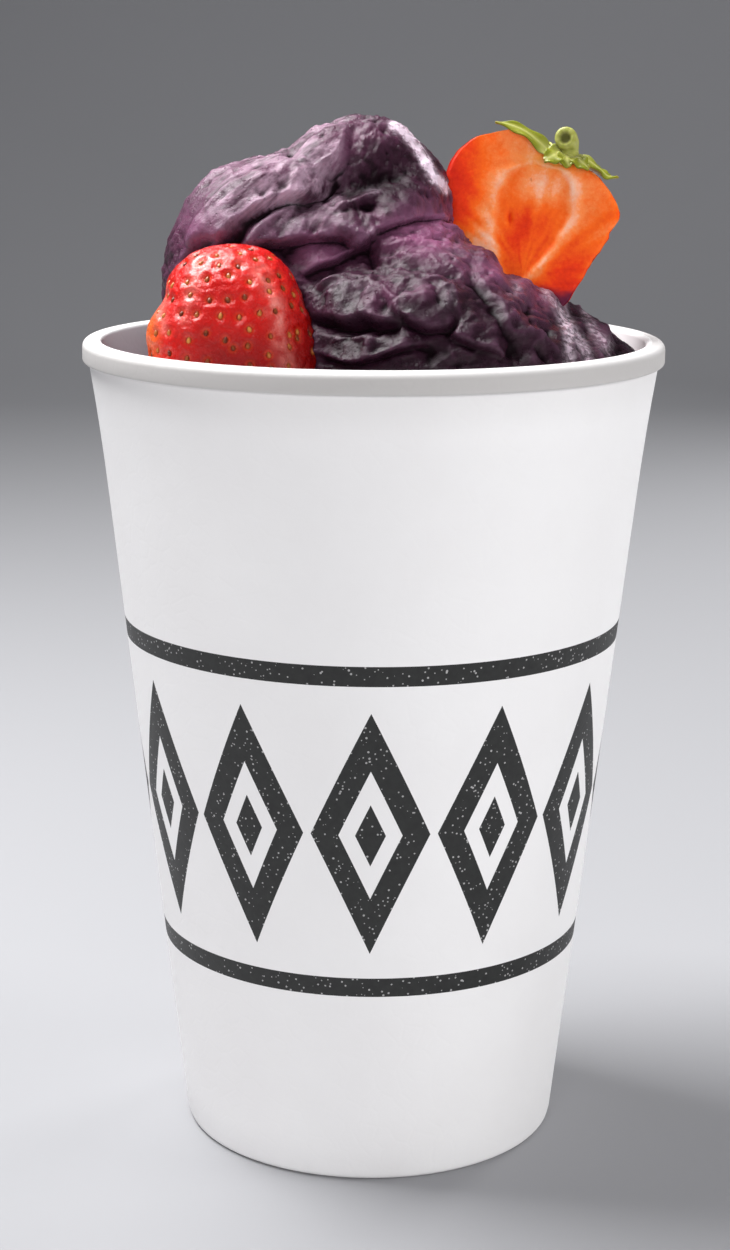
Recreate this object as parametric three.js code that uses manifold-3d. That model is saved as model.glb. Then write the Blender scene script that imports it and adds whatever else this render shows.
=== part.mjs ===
// Acai sorbet heaped in a tall foam cup, with a whole strawberry pressed into the front
// and half a strawberry standing on the right-hand slope.
// Millimetres, +Z up. The origin is the centre of the cup's foot, on the table; -Y is the front.
import * as THREE from "three";
import { SimplexNoise } from "three/addons/math/SimplexNoise.js";
import { mergeVertices } from "three/addons/utils/BufferGeometryUtils.js";
import Module from "manifold-3d";

const wasm = await Module();
wasm.setup();

// Foam cup
const CUP_HEIGHT = 133;
const RIM_RADIUS = 47;
const FOOT_RADIUS = 31.2;
const WALL_THICKNESS = 2.1;
const WALL_TOP_RADIUS = 45.5; // of the straight wall, before it flares to the band
const FLARE = 0.5;
const FLARE_HEIGHT = 20;
const BAND_HEIGHT = 3.6;
const BAND_CHAMFER = 0.7;
const LIP_ROUNDING = 1.2;
const FLOOR_LEVEL = 6;
const FOOT_RECESS = 2.6;
const FOOT_WIDTH = 4.5;
const FOOT_ROUNDING = 1;
const FLOOR_ROUNDING = 4;
const CUP_SIDES = 64;
const CURVE_STEPS = 2; // along each rounded edge of the cup
const GAP = 0.3; // between two pieces that touch

// Sorbet: the level where the fill ends and the heap begins, and the mesh of the heap
const FILL_LEVEL = 122;
const FILL_RINGS = 2;
const HEAP_RINGS = 41;
const HEAP_CENTRE = new THREE.Vector3(0, 0, FILL_LEVEL);
const SEARCH_REACH = 62; // no part of the heap is further from HEAP_CENTRE
const SEARCH_HALVINGS = 12;
const SHOULDER_ANGLE = 0.16; // radians over which the heap parts from the cup's wall
const BLEND = 0.55; // how sharply two masses of sorbet run together, per millimetre

// The masses that the sorbet was spooned on in: centre and half sizes
const MASSES = {
  bed: { centre: [0, 0, 116], half: [41.5, 41.5, 15] },
  peak: { centre: [-2.2, 2, 136], half: [17.4, 19, 32.2] },
  leftLobe: { centre: [-17.2, 1, 140], half: [17, 19, 21] },
  front: { centre: [9, -12, 131], half: [22, 20, 16.5] },
  rightSkirt: { centre: [18, -4, 124], half: [23, 26, 19.6] },
  rimLump: { centre: [34.5, -5, 127.5], half: [10, 13, 8.4] },
  backSkirt: { centre: [-3, 15, 129], half: [29, 21, 19] },
  backRight: { centre: [22, 16, 124], half: [17, 17, 14] },
};

// Folds where one smear of sorbet hangs over the next. Each line is the lip's edge as seen from
// the front, x and z from left to right; lip is how far it stands out, rise how far above the edge
// that swelling reaches, groove and reach the depth and height of the hollow below.
const FRONT_FOLDS = {
  leftSheet: {
    lip: 2.4, rise: 7, groove: 2.0, reach: 4,
    line: [[-24.5, 148], [-21, 152], [-15, 156.2], [-10.4, 158], [-7, 162.5], [-5, 167]],
  },
  lens: { lip: 1.2, rise: 2.5, groove: 0.8, reach: 2, line: [[-17, 151.6], [-12, 153.6], [-6.5, 154.6]] },
  thirdShelf: {
    lip: 2.0, rise: 3, groove: 2.2, reach: 3.6,
    line: [[-20, 148.6], [-15.5, 150.4], [-9, 151], [-4.6, 150], [-0.5, 149]],
  },
  rightUpper: { lip: 1.6, rise: 4, groove: 1.6, reach: 2.2, line: [[-2.5, 151.8], [3, 153], [10.5, 154]] },
  nib: { lip: 1.1, rise: 1.4, groove: 0.6, reach: 1.6, line: [[-5.6, 155.6], [-1.3, 156], [2, 157.6]] },
  midLeft: {
    lip: 1.8, rise: 3.4, groove: 2.2, reach: 2.4,
    line: [[-13.5, 144.4], [-8, 145.4], [-3.4, 147.4], [0, 150.2]],
  },
  rightLump: { lip: 1.9, rise: 3.5, groove: 1.8, reach: 2.4, line: [[2, 139.6], [7, 137.8], [13, 138.4]] },
  lowerLeft: {
    lip: 1.8, rise: 3.6, groove: 2.0, reach: 2.4,
    line: [[-9, 139.8], [-5.5, 138], [-1, 137.4], [3.5, 137.6]],
  },
  bottom: { lip: 1.5, rise: 2, groove: 1.4, reach: 2, line: [[-9, 134.6], [-1, 134.2], [7, 136.6]] },
  leftUnder: { lip: 1.3, rise: 3, groove: 0.8, reach: 2.5, line: [[-30, 145], [-27, 149], [-20, 152]] },
};
const BACK_FOLDS = {
  highSheet: {
    lip: 2.2, rise: 6, groove: 1.8, reach: 4,
    line: [[-20, 149], [-12, 153], [-4, 158], [4, 163]],
  },
  midShelf: {
    lip: 2.0, rise: 4, groove: 2.0, reach: 3.4,
    line: [[-30, 139], [-18, 144], [-6, 146], [8, 143], [18, 138]],
  },
  lowShelf: {
    lip: 1.6, rise: 3, groove: 1.6, reach: 2.6,
    line: [[-16, 134], [-4, 137], [10, 135], [24, 131]],
  },
};
// Soft swellings and hollows, also as seen from the front
const FRONT_SWELLS = {
  hollowUnderPeak: { at: [-1, 159.6], size: [7.5, 3], height: -2.4 },
  purpleSheet: { at: [8, 148.5], size: [8, 4], height: 1.8 },
  lowerLumps: { at: [-6, 142], size: [6.5, 2.6], height: 1.8 },
  rightLumpTop: { at: [8, 141.6], size: [5, 2.4], height: 1.4 },
  rightDip: { at: [15, 144.5], size: [3, 5], height: -1.2 },
};
const LIP_DROP = 1.2; // height over which a lip falls back into its groove
const FOLD_SAMPLES = 24;
const SIDE_BLEND = 8; // the folds fade over this depth either side of the heap's middle
const UNEVENNESS = 0.5;
const UNEVEN_SPAN = 8;
const LUMPINESS = 0.9; // of the icy right-hand slope
const LUMP_SPAN = 4.5;
const LUMPY_FROM = 14;
const LUMPY_WITHIN = 6;

// Whole strawberry, tip up: share of the length from the tip, and share of the radius
const WHOLE_LENGTH = 34;
const WHOLE_RADIUS = 13.6;
const WHOLE_DEPTH_SHARE = 0.92;
const WHOLE_TIP = new THREE.Vector3(-22.4, -20.5, 149.2);
const WHOLE_LEAN = 0.06; // radians, the tip towards -X
const WHOLE_SIDES = 32;
const WHOLE_PROFILE = [
  [0, 0], [0.012, 0.25], [0.045, 0.46], [0.118, 0.655], [0.206, 0.78], [0.3, 0.87], [0.42, 0.94],
  [0.62, 1], [0.8, 0.92], [0.93, 0.62], [1, 0],
];
const WHOLE_RINGS = 20;

// Strawberry half: its cut face as rows of height, left edge and right edge
const HALF_ORIGIN = new THREE.Vector3(25, -1, 151);
const HALF_LEAN = -0.1; // radians, the top tilted away from the front
const HALF_DEPTH_SHARE = 0.85;
const HALF_SIDES = 32;
const HALF_RINGS = 16;
const HALF_ROWS = [
  [-15.4, -0.5, -0.5], [-14.6, -3, 2.6], [-12.3, -5.8, 5.2], [-9.2, -8.6, 7.9], [-5, -11.4, 10.4],
  [-1, -13.2, 12.7], [2.4, -14.2, 13.9], [5, -14.4, 12.9], [7.2, -14, 10.6], [9.4, -13.3, 6.6],
  [11.6, -12, 2.2], [13.6, -9.8, -1.8], [15, -5.6, -4.6], [15.3, -5, -5],
];
const CUTTER_SIZE = 80; // of the blocks that trim the half, larger than any berry
const CORE_HOLLOW = { centre: [-1, 0, -0.5], half: [3, 0.9, 8] };

const BERRY_UNEVENNESS = 0.045; // share of its radius
const PIT_DEPTH = 0.45;
const PIT_EVERY = 4; // sides between two seeds of a ring
const SEED_SIZE = [0.5, 0.5, 0.75];
const SEED_ASIDE = 0.07; // a seed lies a little off the middle of its pit
const WHOLE_SEEDS_ABOVE = 131; // lower ones would be under the sorbet
const HALF_SEEDS_ABOVE = -8; // from the middle of the half
const HALF_SEEDS_BEHIND = 2; // the cut face

// Leafy crown of the strawberry half
const CROWN_AT = new THREE.Vector3(29.4, 0.4, 160.9);
const CROWN_SLOPE = 0.48; // radians, down towards +X
const SEPAL_THICKNESS = 0.55;
const SEPAL_LIFT = 0.35;
const SEPAL_STACK = 0.17; // each blade leaves the hub this much above the last
const SEPAL_WAVE = 0.25;
const SEPAL_ARCH = 0.7;
const SEPALS = [
  { turn: 180, length: 11.4, width: 3.6, curl: 0.9 },
  { turn: 128, length: 9, width: 4.2, curl: 1.6 },
  { turn: 84, length: 9.4, width: 4.4, curl: 0.6 },
  { turn: 40, length: 8.6, width: 4, curl: 1.8 },
  { turn: 0, length: 9.8, width: 3.4, curl: 2 },
];
const SEPAL_STEPS = 7;
const SEPAL_ROOT = 0.22; // how full the blade already is where it leaves the hub
const SEPAL_WAVES = 5; // radians of waviness along the blade
const HUB_RADIUS = 2.6;
const HUB_FLATNESS = 0.35;
const STEM_RADIUS = 1.5;
const STEM_ROUTE = [[0, 0.6, 0.9], [-0.3, 0.7, 1.8], [-0.2, 0.5, 3.6], [0.5, 0.2, 4.9]];
const STEM_SIDES = 8;
const STEM_STEPS = 5;

const MATERIALS = {
  foam: { color: 0xe9e8e8, roughness: 0.7, metalness: 0 },
  sorbet: { color: 0x5b3a4c, roughness: 0.35, metalness: 0 },
  berrySkin: { color: 0xc4201a, roughness: 0.3, metalness: 0 },
  berryFlesh: { color: 0xe2531f, roughness: 0.35, metalness: 0 },
  leaf: { color: 0x93962a, roughness: 0.6, metalness: 0 },
};

const seededRandom = (seed) => ({
  random: () => {
    seed = (seed * 16807) % 2147483647;
    return seed / 2147483647;
  },
});
const noise = new SimplexNoise(seededRandom(4127));

const smoothstep = THREE.MathUtils.smoothstep;

// Solids for cutting and joining

function toSolid(geometry) {
  const bare = geometry.index ? geometry.toNonIndexed() : geometry.clone();
  const position = new THREE.BufferGeometry().setAttribute("position", bare.getAttribute("position"));
  const merged = mergeVertices(position, 1e-4);
  return new wasm.Manifold(
    new wasm.Mesh({
      numProp: 3,
      vertProperties: new Float32Array(merged.attributes.position.array),
      triVerts: new Uint32Array(merged.index.array),
    }),
  );
}

function toGeometry(solid) {
  const mesh = solid.getMesh();
  const geometry = new THREE.BufferGeometry()
    .setAttribute("position", new THREE.BufferAttribute(mesh.vertProperties, 3))
    .setIndex(new THREE.BufferAttribute(mesh.triVerts, 1));
  geometry.computeVertexNormals();
  return geometry;
}

// Keeps the largest body of a solid and drops the scraps that a cut leaves.
function largestBody(solid) {
  return solid.decompose().reduce((a, b) => (a.volume() > b.volume() ? a : b));
}

// Turns a profile of radius and height round the Z axis.
function turned(profile, sides) {
  return new THREE.LatheGeometry(profile, sides).rotateX(Math.PI / 2);
}

function moveVertices(geometry, move) {
  const position = geometry.attributes.position;
  const point = new THREE.Vector3();
  for (let i = 0; i < position.count; i++) {
    point.fromBufferAttribute(position, i);
    move(point, i);
    position.setXYZ(i, point.x, point.y, point.z);
  }
  return geometry;
}

// Foam cup

function outerRadius(z) {
  const straight = FOOT_RADIUS + ((WALL_TOP_RADIUS - FOOT_RADIUS) * z) / (CUP_HEIGHT - BAND_HEIGHT);
  const flare = Math.max(0, z - (CUP_HEIGHT - BAND_HEIGHT - FLARE_HEIGHT)) / FLARE_HEIGHT;
  return straight + FLARE * flare * flare;
}

function innerRadius(z) {
  return outerRadius(Math.min(z, CUP_HEIGHT - BAND_HEIGHT)) - WALL_THICKNESS;
}

function cupGeometry() {
  const bandFoot = CUP_HEIGHT - BAND_HEIGHT;
  const outline = new THREE.Path();
  outline.moveTo(FOOT_RADIUS - FOOT_WIDTH, 0);
  outline.lineTo(FOOT_RADIUS - FOOT_ROUNDING, 0);
  outline.quadraticCurveTo(FOOT_RADIUS, 0, outerRadius(FOOT_ROUNDING), FOOT_ROUNDING);
  outline.lineTo(outerRadius(bandFoot - FLARE_HEIGHT), bandFoot - FLARE_HEIGHT);
  outline.lineTo(outerRadius(bandFoot - FLARE_HEIGHT / 2), bandFoot - FLARE_HEIGHT / 2);
  outline.lineTo(outerRadius(bandFoot), bandFoot);
  outline.lineTo(RIM_RADIUS, bandFoot + BAND_CHAMFER);
  outline.lineTo(RIM_RADIUS, CUP_HEIGHT - LIP_ROUNDING);
  outline.absarc(RIM_RADIUS - LIP_ROUNDING, CUP_HEIGHT - LIP_ROUNDING, LIP_ROUNDING, 0, Math.PI / 2);
  const innerTop = innerRadius(CUP_HEIGHT);
  outline.lineTo(innerTop + LIP_ROUNDING / 2, CUP_HEIGHT);
  outline.quadraticCurveTo(innerTop, CUP_HEIGHT, innerTop, CUP_HEIGHT - LIP_ROUNDING / 2);
  outline.lineTo(innerRadius(bandFoot), bandFoot);
  outline.lineTo(innerRadius(bandFoot - FLARE_HEIGHT / 2), bandFoot - FLARE_HEIGHT / 2);
  outline.lineTo(innerRadius(bandFoot - FLARE_HEIGHT), bandFoot - FLARE_HEIGHT);
  const floorEdge = innerRadius(FLOOR_LEVEL + FLOOR_ROUNDING);
  outline.lineTo(floorEdge, FLOOR_LEVEL + FLOOR_ROUNDING);
  outline.quadraticCurveTo(innerRadius(FLOOR_LEVEL), FLOOR_LEVEL, floorEdge - FLOOR_ROUNDING, FLOOR_LEVEL);
  outline.lineTo(0, FLOOR_LEVEL);
  outline.lineTo(0, FOOT_RECESS);
  outline.lineTo(FOOT_RADIUS - FOOT_WIDTH - FOOT_ROUNDING, FOOT_RECESS);
  outline.lineTo(FOOT_RADIUS - FOOT_WIDTH, 0);
  return turned(outline.getPoints(CURVE_STEPS), CUP_SIDES);
}

// Sorbet

// Distance outside the blended masses, negative inside them.
function outsideMasses(point) {
  let sum = 0;
  for (const { centre, half } of Object.values(MASSES)) {
    const scaled = Math.hypot(
      (point.x - centre[0]) / half[0],
      (point.y - centre[1]) / half[1],
      (point.z - centre[2]) / half[2],
    );
    sum += Math.exp(-BLEND * (scaled - 1) * Math.min(...half));
  }
  return -Math.log(sum) / BLEND;
}

// How far the blended masses reach from the heap's centre in a direction.
function reachOfMasses(direction) {
  const at = (t) => outsideMasses(HEAP_CENTRE.clone().addScaledVector(direction, t));
  let outer = SEARCH_REACH;
  while (at(outer) > 0) outer -= 1;
  let low = outer;
  let high = outer + 1;
  for (let i = 0; i < SEARCH_HALVINGS; i++) {
    const middle = (low + high) / 2;
    if (at(middle) > 0) high = middle;
    else low = middle;
  }
  return low;
}

function sampledFold(fold) {
  const curve = new THREE.SplineCurve(fold.line.map(([x, z]) => new THREE.Vector2(x, z)));
  return { ...fold, samples: curve.getPoints(FOLD_SAMPLES) };
}

// Height that a fold adds at a point of the front view: a swelling above the lip's edge, and
// a groove that it hangs over. Both fade out at the fold's ends.
function foldHeight(fold, x, z) {
  let nearest = Infinity;
  let above = 0;
  let along = 0;
  for (let i = 0; i < fold.samples.length - 1; i++) {
    const a = fold.samples[i];
    const b = fold.samples[i + 1];
    const dx = b.x - a.x;
    const dz = b.y - a.y;
    const share = THREE.MathUtils.clamp(((x - a.x) * dx + (z - a.y) * dz) / (dx * dx + dz * dz), 0, 1);
    const offX = x - a.x - share * dx;
    const offZ = z - a.y - share * dz;
    const distance = Math.hypot(offX, offZ);
    if (distance < nearest) {
      nearest = distance;
      above = Math.sign(offZ * dx - offX * dz) * distance;
      along = (i + share) / (fold.samples.length - 1);
    }
  }
  const fade = Math.sqrt(Math.sin(Math.PI * along));
  if (above >= 0) return fade * fold.lip * Math.exp(-((above / fold.rise) ** 2));
  const drop = (fold.lip + fold.groove) * Math.exp(-((above / LIP_DROP) ** 2));
  return fade * (drop - fold.groove * Math.exp(-((above / fold.reach) ** 2)));
}

function swellHeight({ at, size, height }, x, z) {
  return height * Math.exp(-(((x - at[0]) / size[0]) ** 2) - ((z - at[1]) / size[1]) ** 2);
}

const frontFolds = Object.values(FRONT_FOLDS).map(sampledFold);
const backFolds = Object.values(BACK_FOLDS).map(sampledFold);

function reliefAt(point) {
  const front = smoothstep(-point.y, -SIDE_BLEND, SIDE_BLEND);
  const sum = (total, value) => total + value;
  const onFront =
    frontFolds.map((fold) => foldHeight(fold, point.x, point.z)).reduce(sum, 0) +
    Object.values(FRONT_SWELLS).map((swell) => swellHeight(swell, point.x, point.z)).reduce(sum, 0);
  const onBack = backFolds.map((fold) => foldHeight(fold, -point.x, point.z)).reduce(sum, 0);
  const uneven = UNEVENNESS * noise.noise3d(...point.toArray().map((v) => v / UNEVEN_SPAN));
  const lumpy = smoothstep(point.x, LUMPY_FROM, LUMPY_FROM + LUMPY_WITHIN) * LUMPINESS;
  const lumps = lumpy * noise.noise3d(...point.toArray().map((v) => v / LUMP_SPAN));
  return front * onFront + (1 - front) * onBack + uneven + lumps;
}

// Moves a point of the plain dome out or in to the heap's surface, inside the cup's wall.
function shapeHeap(point) {
  if (point.z <= FILL_LEVEL + 1e-3) return;
  const direction = point.clone().sub(HEAP_CENTRE);
  const wallReach = direction.length();
  direction.normalize();
  const angle = Math.asin(direction.z);
  const surface = HEAP_CENTRE.clone().addScaledVector(direction, reachOfMasses(direction));
  surface.addScaledVector(direction, reliefAt(surface));
  const heaped = surface.distanceTo(HEAP_CENTRE);
  const share = smoothstep(angle, 0, SHOULDER_ANGLE);
  point.copy(HEAP_CENTRE).addScaledVector(direction, THREE.MathUtils.lerp(wallReach, heaped, share));
  const radius = Math.hypot(point.x, point.y);
  const room = innerRadius(point.z) - GAP;
  if (point.z < CUP_HEIGHT && radius > room) {
    point.x *= room / radius;
    point.y *= room / radius;
  }
}

function sorbetGeometry() {
  const bottom = FLOOR_LEVEL + GAP;
  const floorEdge = innerRadius(FLOOR_LEVEL + FLOOR_ROUNDING);
  const profile = [
    new THREE.Vector2(0, bottom),
    new THREE.Vector2(floorEdge - FLOOR_ROUNDING - GAP, bottom),
    new THREE.Vector2(floorEdge - GAP, bottom + FLOOR_ROUNDING),
  ];
  for (let i = 1; i <= FILL_RINGS; i++) {
    const z = THREE.MathUtils.lerp(bottom + FLOOR_ROUNDING, FILL_LEVEL, i / FILL_RINGS);
    profile.push(new THREE.Vector2(innerRadius(z) - GAP, z));
  }
  const radius = innerRadius(FILL_LEVEL) - GAP;
  for (let i = 1; i <= HEAP_RINGS; i++) {
    const angle = (i / HEAP_RINGS) * (Math.PI / 2);
    const across = i === HEAP_RINGS ? 0 : radius * Math.cos(angle);
    profile.push(new THREE.Vector2(across, FILL_LEVEL + radius * Math.sin(angle)));
  }
  return moveVertices(turned(profile, CUP_SIDES), shapeHeap);
}

// Strawberries

// Is there a seed pit where this ring and side meet? Rings of pits are set off by half a step.
function isPit(ring, side, rings) {
  if (ring % 2 || ring < 2 || ring > rings - 2) return false;
  const offset = (ring / 2) % 2 ? PIT_EVERY / 2 : 0;
  return (side + offset) % PIT_EVERY === 0;
}

// A strawberry from a function of ring share and turn that gives its surface points. Clearance
// grows it evenly, for cutting the socket that it sits in.
function berryGeometry(surfaceAt, rings, sides, clearance) {
  const profile = [];
  for (let ring = 0; ring <= rings; ring++) profile.push(new THREE.Vector2(ring % rings ? 1 : 0, ring));
  const body = turned(profile, sides);
  const centre = surfaceAt(0.5, 0).add(surfaceAt(0.5, Math.PI)).multiplyScalar(0.5);
  return moveVertices(body, (point, index) => {
    const ring = index % (rings + 1);
    const side = Math.floor(index / (rings + 1)) % sides;
    point.copy(surfaceAt(ring / rings, (side / sides) * 2 * Math.PI));
    const inward = isPit(ring, side, rings) && !clearance ? PIT_DEPTH : -clearance;
    point.addScaledVector(centre.clone().sub(point).normalize(), inward);
  });
}

function seedSpots(surfaceAt, rings, sides) {
  const spots = [];
  for (let ring = 0; ring <= rings; ring++) {
    for (let side = 0; side < sides; side++) {
      if (isPit(ring, side, rings)) spots.push(surfaceAt(ring / rings, (side / sides) * 2 * Math.PI));
    }
  }
  return spots;
}

// One seed lying in its pit, its length along the berry.
function seedSolid(spot, centre) {
  const outward = spot.clone().sub(centre).normalize();
  const alongBerry = new THREE.Vector3(0, 0, 1).addScaledVector(outward, -outward.z).normalize();
  const across = outward.clone().cross(alongBerry);
  const place = new THREE.Matrix4().makeBasis(across, outward, alongBerry);
  const bedded = spot.clone().addScaledVector(outward, -PIT_DEPTH).addScaledVector(across, SEED_ASIDE);
  place.setPosition(bedded);
  return toSolid(new THREE.OctahedronGeometry(1).scale(...SEED_SIZE).applyMatrix4(place));
}

const wholeCurve = new THREE.SplineCurve(WHOLE_PROFILE.map(([h, r]) => new THREE.Vector2(r, h)));

function wholeSurface(share, turn) {
  const { x: r, y: h } = wholeCurve.getPoint(1 - share);
  const radius = Math.max(0, r) * WHOLE_RADIUS;
  const bump = 1 + BERRY_UNEVENNESS * noise.noise(2 * Math.sin(turn) + 3 * h, 2 * Math.cos(turn));
  return new THREE.Vector3(
    radius * bump * Math.sin(turn),
    -radius * bump * WHOLE_DEPTH_SHARE * Math.cos(turn),
    -h * WHOLE_LENGTH,
  );
}

const halfRow = new THREE.CatmullRomCurve3(HALF_ROWS.map((row) => new THREE.Vector3(...row)));

function halfSurface(share, turn) {
  const { x: z, y: left, z: right } = halfRow.getPoint(share);
  const width = Math.max(0, right - left) / 2;
  return new THREE.Vector3(
    (left + right) / 2 + width * Math.sin(turn),
    -width * HALF_DEPTH_SHARE * Math.cos(turn),
    z,
  );
}

function withSeeds(body, spots, centre) {
  const seeds = spots.map((spot) => seedSolid(spot, centre));
  return largestBody(seeds.reduce((solid, seed) => solid.add(seed), body));
}

const wholePlace = new THREE.Matrix4()
  .makeRotationY(-WHOLE_LEAN)
  .setPosition(WHOLE_TIP);
const halfPlace = new THREE.Matrix4().makeRotationX(HALF_LEAN).setPosition(HALF_ORIGIN);
const crownPlace = new THREE.Matrix4().makeRotationY(CROWN_SLOPE).setPosition(CROWN_AT);

function wholeBerry(clearance) {
  const body = toSolid(berryGeometry(wholeSurface, WHOLE_RINGS, WHOLE_SIDES, clearance));
  if (clearance) return body;
  const centre = new THREE.Vector3(0, 0, -WHOLE_LENGTH / 2);
  const shown = seedSpots(wholeSurface, WHOLE_RINGS, WHOLE_SIDES).filter(
    (spot) => spot.clone().applyMatrix4(wholePlace).z > WHOLE_SEEDS_ABOVE,
  );
  return withSeeds(body, shown, centre);
}

// The half behind the cut, which lies in the XZ plane.
function halfBerry(clearance) {
  const size = CUTTER_SIZE;
  const front = new THREE.BoxGeometry(size, size, size).translate(0, -size / 2 - clearance, 0);
  const whole = toSolid(berryGeometry(halfSurface, HALF_RINGS, HALF_SIDES, clearance));
  if (clearance) return whole.subtract(toSolid(front));
  const hollow = new THREE.SphereGeometry(1, 12, 8).scale(...CORE_HOLLOW.half);
  hollow.translate(...CORE_HOLLOW.centre);
  const underCrown = SEPAL_LIFT - SEPAL_WAVE - GAP;
  const aboveCrown = new THREE.BoxGeometry(size, size, size).translate(0, 0, size / 2 + underCrown);
  aboveCrown.applyMatrix4(crownPlace).applyMatrix4(halfPlace.clone().invert());
  const shown = seedSpots(halfSurface, HALF_RINGS, HALF_SIDES).filter(
    (spot) => spot.y > HALF_SEEDS_BEHIND && spot.z > HALF_SEEDS_ABOVE,
  );
  const cuts = [front, hollow, aboveCrown].map(toSolid);
  return cuts.reduce((solid, cut) => solid.subtract(cut), withSeeds(whole, shown, new THREE.Vector3()));
}

// One pointed leaf blade of the crown, lying along +X and curling up towards its tip.
function sepalSolid({ turn, length, width, curl }, index) {
  const halfWidth = (share) => (width / 2) * Math.sin(Math.PI * (SEPAL_ROOT + (1 - SEPAL_ROOT) * share));
  const blade = new THREE.Shape();
  const shares = Array.from({ length: SEPAL_STEPS }, (_, i) => i / SEPAL_STEPS);
  blade.moveTo(0, -halfWidth(0));
  for (const share of shares.slice(1)) blade.lineTo(share * length, -halfWidth(share));
  blade.lineTo(length, 0);
  for (const share of shares.reverse()) blade.lineTo(share * length, halfWidth(share));
  const geometry = new THREE.ExtrudeGeometry(blade, { depth: SEPAL_THICKNESS, bevelEnabled: false });
  moveVertices(geometry, (point) => {
    const share = point.x / length;
    const wave = SEPAL_WAVE * Math.sin(SEPAL_WAVES * share) * (point.y / width) * 2;
    const arch = SEPAL_ARCH * 4 * share * (1 - share);
    point.z += SEPAL_LIFT + index * SEPAL_STACK + arch + curl * share * share + wave;
  });
  return toSolid(geometry.rotateZ(THREE.MathUtils.degToRad(turn)));
}

function stemSolid() {
  const route = new THREE.CatmullRomCurve3(STEM_ROUTE.map((point) => new THREE.Vector3(...point)));
  const section = new THREE.Shape();
  section.absarc(0, 0, STEM_RADIUS, 0, 2 * Math.PI);
  const tube = new THREE.ExtrudeGeometry(section, {
    steps: STEM_STEPS,
    curveSegments: STEM_SIDES / 2,
    bevelEnabled: false,
    extrudePath: route,
  });
  return toSolid(tube);
}

function crownSolid() {
  const hub = new THREE.SphereGeometry(HUB_RADIUS, 10, 6).scale(1, 1, HUB_FLATNESS);
  hub.translate(0, 0, SEPAL_LIFT + HUB_RADIUS * HUB_FLATNESS);
  const joined = SEPALS.map(sepalSolid).reduce((solid, sepal) => solid.add(sepal), toSolid(hub));
  return largestBody(joined.add(stemSolid()));
}

function sorbetSolid() {
  const sockets = [
    toGeometry(wholeBerry(GAP)).applyMatrix4(wholePlace),
    toGeometry(halfBerry(GAP)).applyMatrix4(halfPlace),
  ];
  const heap = toSolid(sorbetGeometry());
  return largestBody(sockets.reduce((solid, socket) => solid.subtract(toSolid(socket)), heap));
}

function piece(name, geometry, material, matrix) {
  const mesh = new THREE.Mesh(geometry, new THREE.MeshStandardMaterial(material));
  mesh.name = name;
  if (matrix) mesh.applyMatrix4(matrix);
  return mesh;
}

const acaiCup = new THREE.Group();
acaiCup.name = "acai_cup";
acaiCup.add(
  piece("foam_cup", cupGeometry(), MATERIALS.foam),
  piece("acai_sorbet", toGeometry(sorbetSolid()), MATERIALS.sorbet),
  piece("whole_strawberry", toGeometry(wholeBerry(0)), MATERIALS.berrySkin, wholePlace),
  piece("strawberry_half", toGeometry(halfBerry(0)), MATERIALS.berryFlesh, halfPlace),
  piece("strawberry_crown", toGeometry(crownSolid()), MATERIALS.leaf, crownPlace),
);

export default acaiCup;
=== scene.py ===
import math
import random

import bmesh
import bpy
import numpy as np
from mathutils import Matrix, Vector, noise
from mathutils.kdtree import KDTree


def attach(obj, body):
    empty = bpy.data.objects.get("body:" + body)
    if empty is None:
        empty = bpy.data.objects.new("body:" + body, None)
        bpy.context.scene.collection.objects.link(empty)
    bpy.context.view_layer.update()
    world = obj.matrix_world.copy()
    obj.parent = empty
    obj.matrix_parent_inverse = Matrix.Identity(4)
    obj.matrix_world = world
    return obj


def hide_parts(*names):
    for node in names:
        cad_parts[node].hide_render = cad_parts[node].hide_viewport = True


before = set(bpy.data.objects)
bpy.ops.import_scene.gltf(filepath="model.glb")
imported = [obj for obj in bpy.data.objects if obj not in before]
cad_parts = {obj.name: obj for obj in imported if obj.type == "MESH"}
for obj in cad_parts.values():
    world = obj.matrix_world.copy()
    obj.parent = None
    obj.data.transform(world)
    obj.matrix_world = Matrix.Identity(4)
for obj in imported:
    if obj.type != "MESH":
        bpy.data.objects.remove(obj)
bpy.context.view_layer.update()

MM = 0.001  # sizes below are in millimetres, +Z up, -Y to the front

# Foam cup
CUP_HEIGHT = 133
RIM_RADIUS = 47
FOOT_RADIUS = 31.2
WALL_THICKNESS = 2.1
WALL_TOP_RADIUS = 45.5
FLARE = 0.5
FLARE_HEIGHT = 20
BAND_HEIGHT = 3.6
BAND_FOOT = CUP_HEIGHT - BAND_HEIGHT
LIP_ROUNDING = 1.2
FLOOR_LEVEL = 6
FLOOR_ROUNDING = 4
FOOT_RECESS = 2.6
FOOT_WIDTH = 4.5
FOOT_ROUNDING = 1
BAND_CREASE = 0.35
INNER_LIP_ROUNDING = 0.7
CUP_SIDES = 256
WALL_RINGS = 24

# Print on the cup: two rules round it, and a row of lozenges between them
PRINT_LOW = 33
PRINT_HIGH = 88
RULE_WIDTH = 3.2
RULE_GAP = 3.0
LOZENGES = 12

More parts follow.
